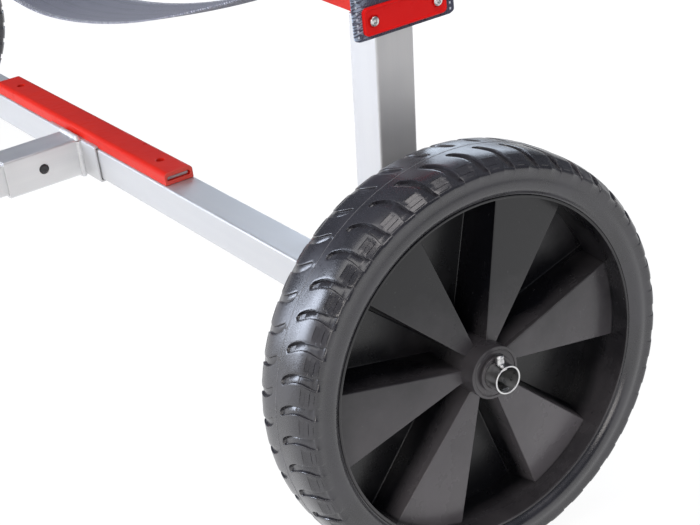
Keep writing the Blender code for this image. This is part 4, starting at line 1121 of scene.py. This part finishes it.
# ---------------------------------------------------------------- stage, light and camera
floor_mesh = bpy.data.meshes.new("floor")
span = 14.0
floor_mesh.from_pydata([(-span, -span, 0), (span, -span, 0), (span, span, 0), (-span, span, 0)], [], [(0, 1, 2, 3)])
floor = bpy.data.objects.new("floor", floor_mesh)
bpy.context.scene.collection.objects.link(floor)
pale = bpy.data.materials.new("pale_floor")
pale.use_nodes = True
wire(pale, Base_Color=(0.86, 0.86, 0.86, 1), Roughness=0.9, Specular_IOR_Level=0.0)
tree = pale.node_tree
# The floor is white where a ray sees it, and lights the trolley as a pale one.
path = add(tree, "LightPath")
seen = Value(path, "Is Camera Ray").maths("MAXIMUM", Value(path, "Is Glossy Ray"))
seen = seen.maths("MAXIMUM", Value(path, "Is Transmission Ray"))
glow = Value(add(tree, "Emission", {"Color": (1, 1, 1, 1), "Strength": 0.93}))
faint = Value(add(tree, "BsdfDiffuse", {"Color": (0.14, 0.14, 0.14, 1)}))
bright = Value(add(tree, "AddShader", {0: glow, 1: faint}))
mixed = Value(add(tree, "MixShader", {0: seen, 1: Value(tree.nodes["Principled BSDF"]), 2: bright}))
fill(tree.nodes["Material Output"], {"Surface": mixed})
floor_mesh.materials.append(pale)

scene = bpy.context.scene
world = bpy.data.worlds.new("studio")
world.use_nodes = True
scene.world = world
# Dim studio walls under a pale, bluish ceiling.
height = split(coordinates(world.node_tree, "Generated"))[2]
walls, ceiling = (0.13, 0.145, 0.17), (0.22, 0.24, 0.28)
tone = ramp(height, (0.0, (0.75, 0.75, 0.76)), (0.10, walls), (0.45, walls), (0.70, ceiling), (1.0, ceiling))
fill(world.node_tree.nodes["Background"], {"Color": tone})


def lamp(name, at, target, size, power, colour):
    data = bpy.data.lights.new(name, "AREA")
    data.shape, data.size, data.size_y = "RECTANGLE", size[0], size[1]
    data.energy, data.color = power, colour
    obj = bpy.data.objects.new(name, data)
    obj.location = at
    obj.rotation_euler = (Vector(target) - Vector(at)).to_track_quat("-Z", "Y").to_euler()
    scene.collection.objects.link(obj)


lamp("front_softbox", (-0.2, -4.2, 1.7), (0.0, 1.0, 0.2), (4.0, 2.2), 24.0, (1.0, 0.965, 0.93))
lamp("front_top_softbox", (0.0, -1.2, 3.6), (0.0, 1.1, 0.2), (2.4, 2.4), 35.0, (1.0, 0.98, 0.96))
lamp("side_softbox", (3.6, -1.8, 1.8), (0.4, 1.1, 0.2), (1.6, 1.6), 42.0, (1.0, 0.95, 0.91))
lamp("left_softbox", (-1.85, -1.75, 1.35), (0.75, 1.05, 0.3), (1.35, 2.1), 98.0, (0.78, 0.85, 1.0))
lamp("back_left_softbox", (-1.9, 3.25, 1.72), (0.74, 1.2, 0.37), (1.5, 1.3), 26.0, (0.76, 0.86, 1.0))
lamp("top_softbox", (1.95, 0.8, 3.9), (0.75, 1.2, 0.3), (2.6, 1.5), 42.0, (1.0, 0.95, 0.94))

camera_data = bpy.data.cameras.new("camera")
camera_data.lens, camera_data.sensor_width = 84.16, 36.0
camera_data.clip_start, camera_data.clip_end = 0.05, 60.0
camera = bpy.data.objects.new("camera", camera_data)
camera.location = (1.7421, 0.4647, 0.8090)
camera.rotation_euler = Euler([math.radians(a) for a in (66.6677, 4.0896, 56.5365)], "XYZ")
scene.collection.objects.link(camera)
scene.camera = camera
scene.view_settings.view_transform = "Standard"
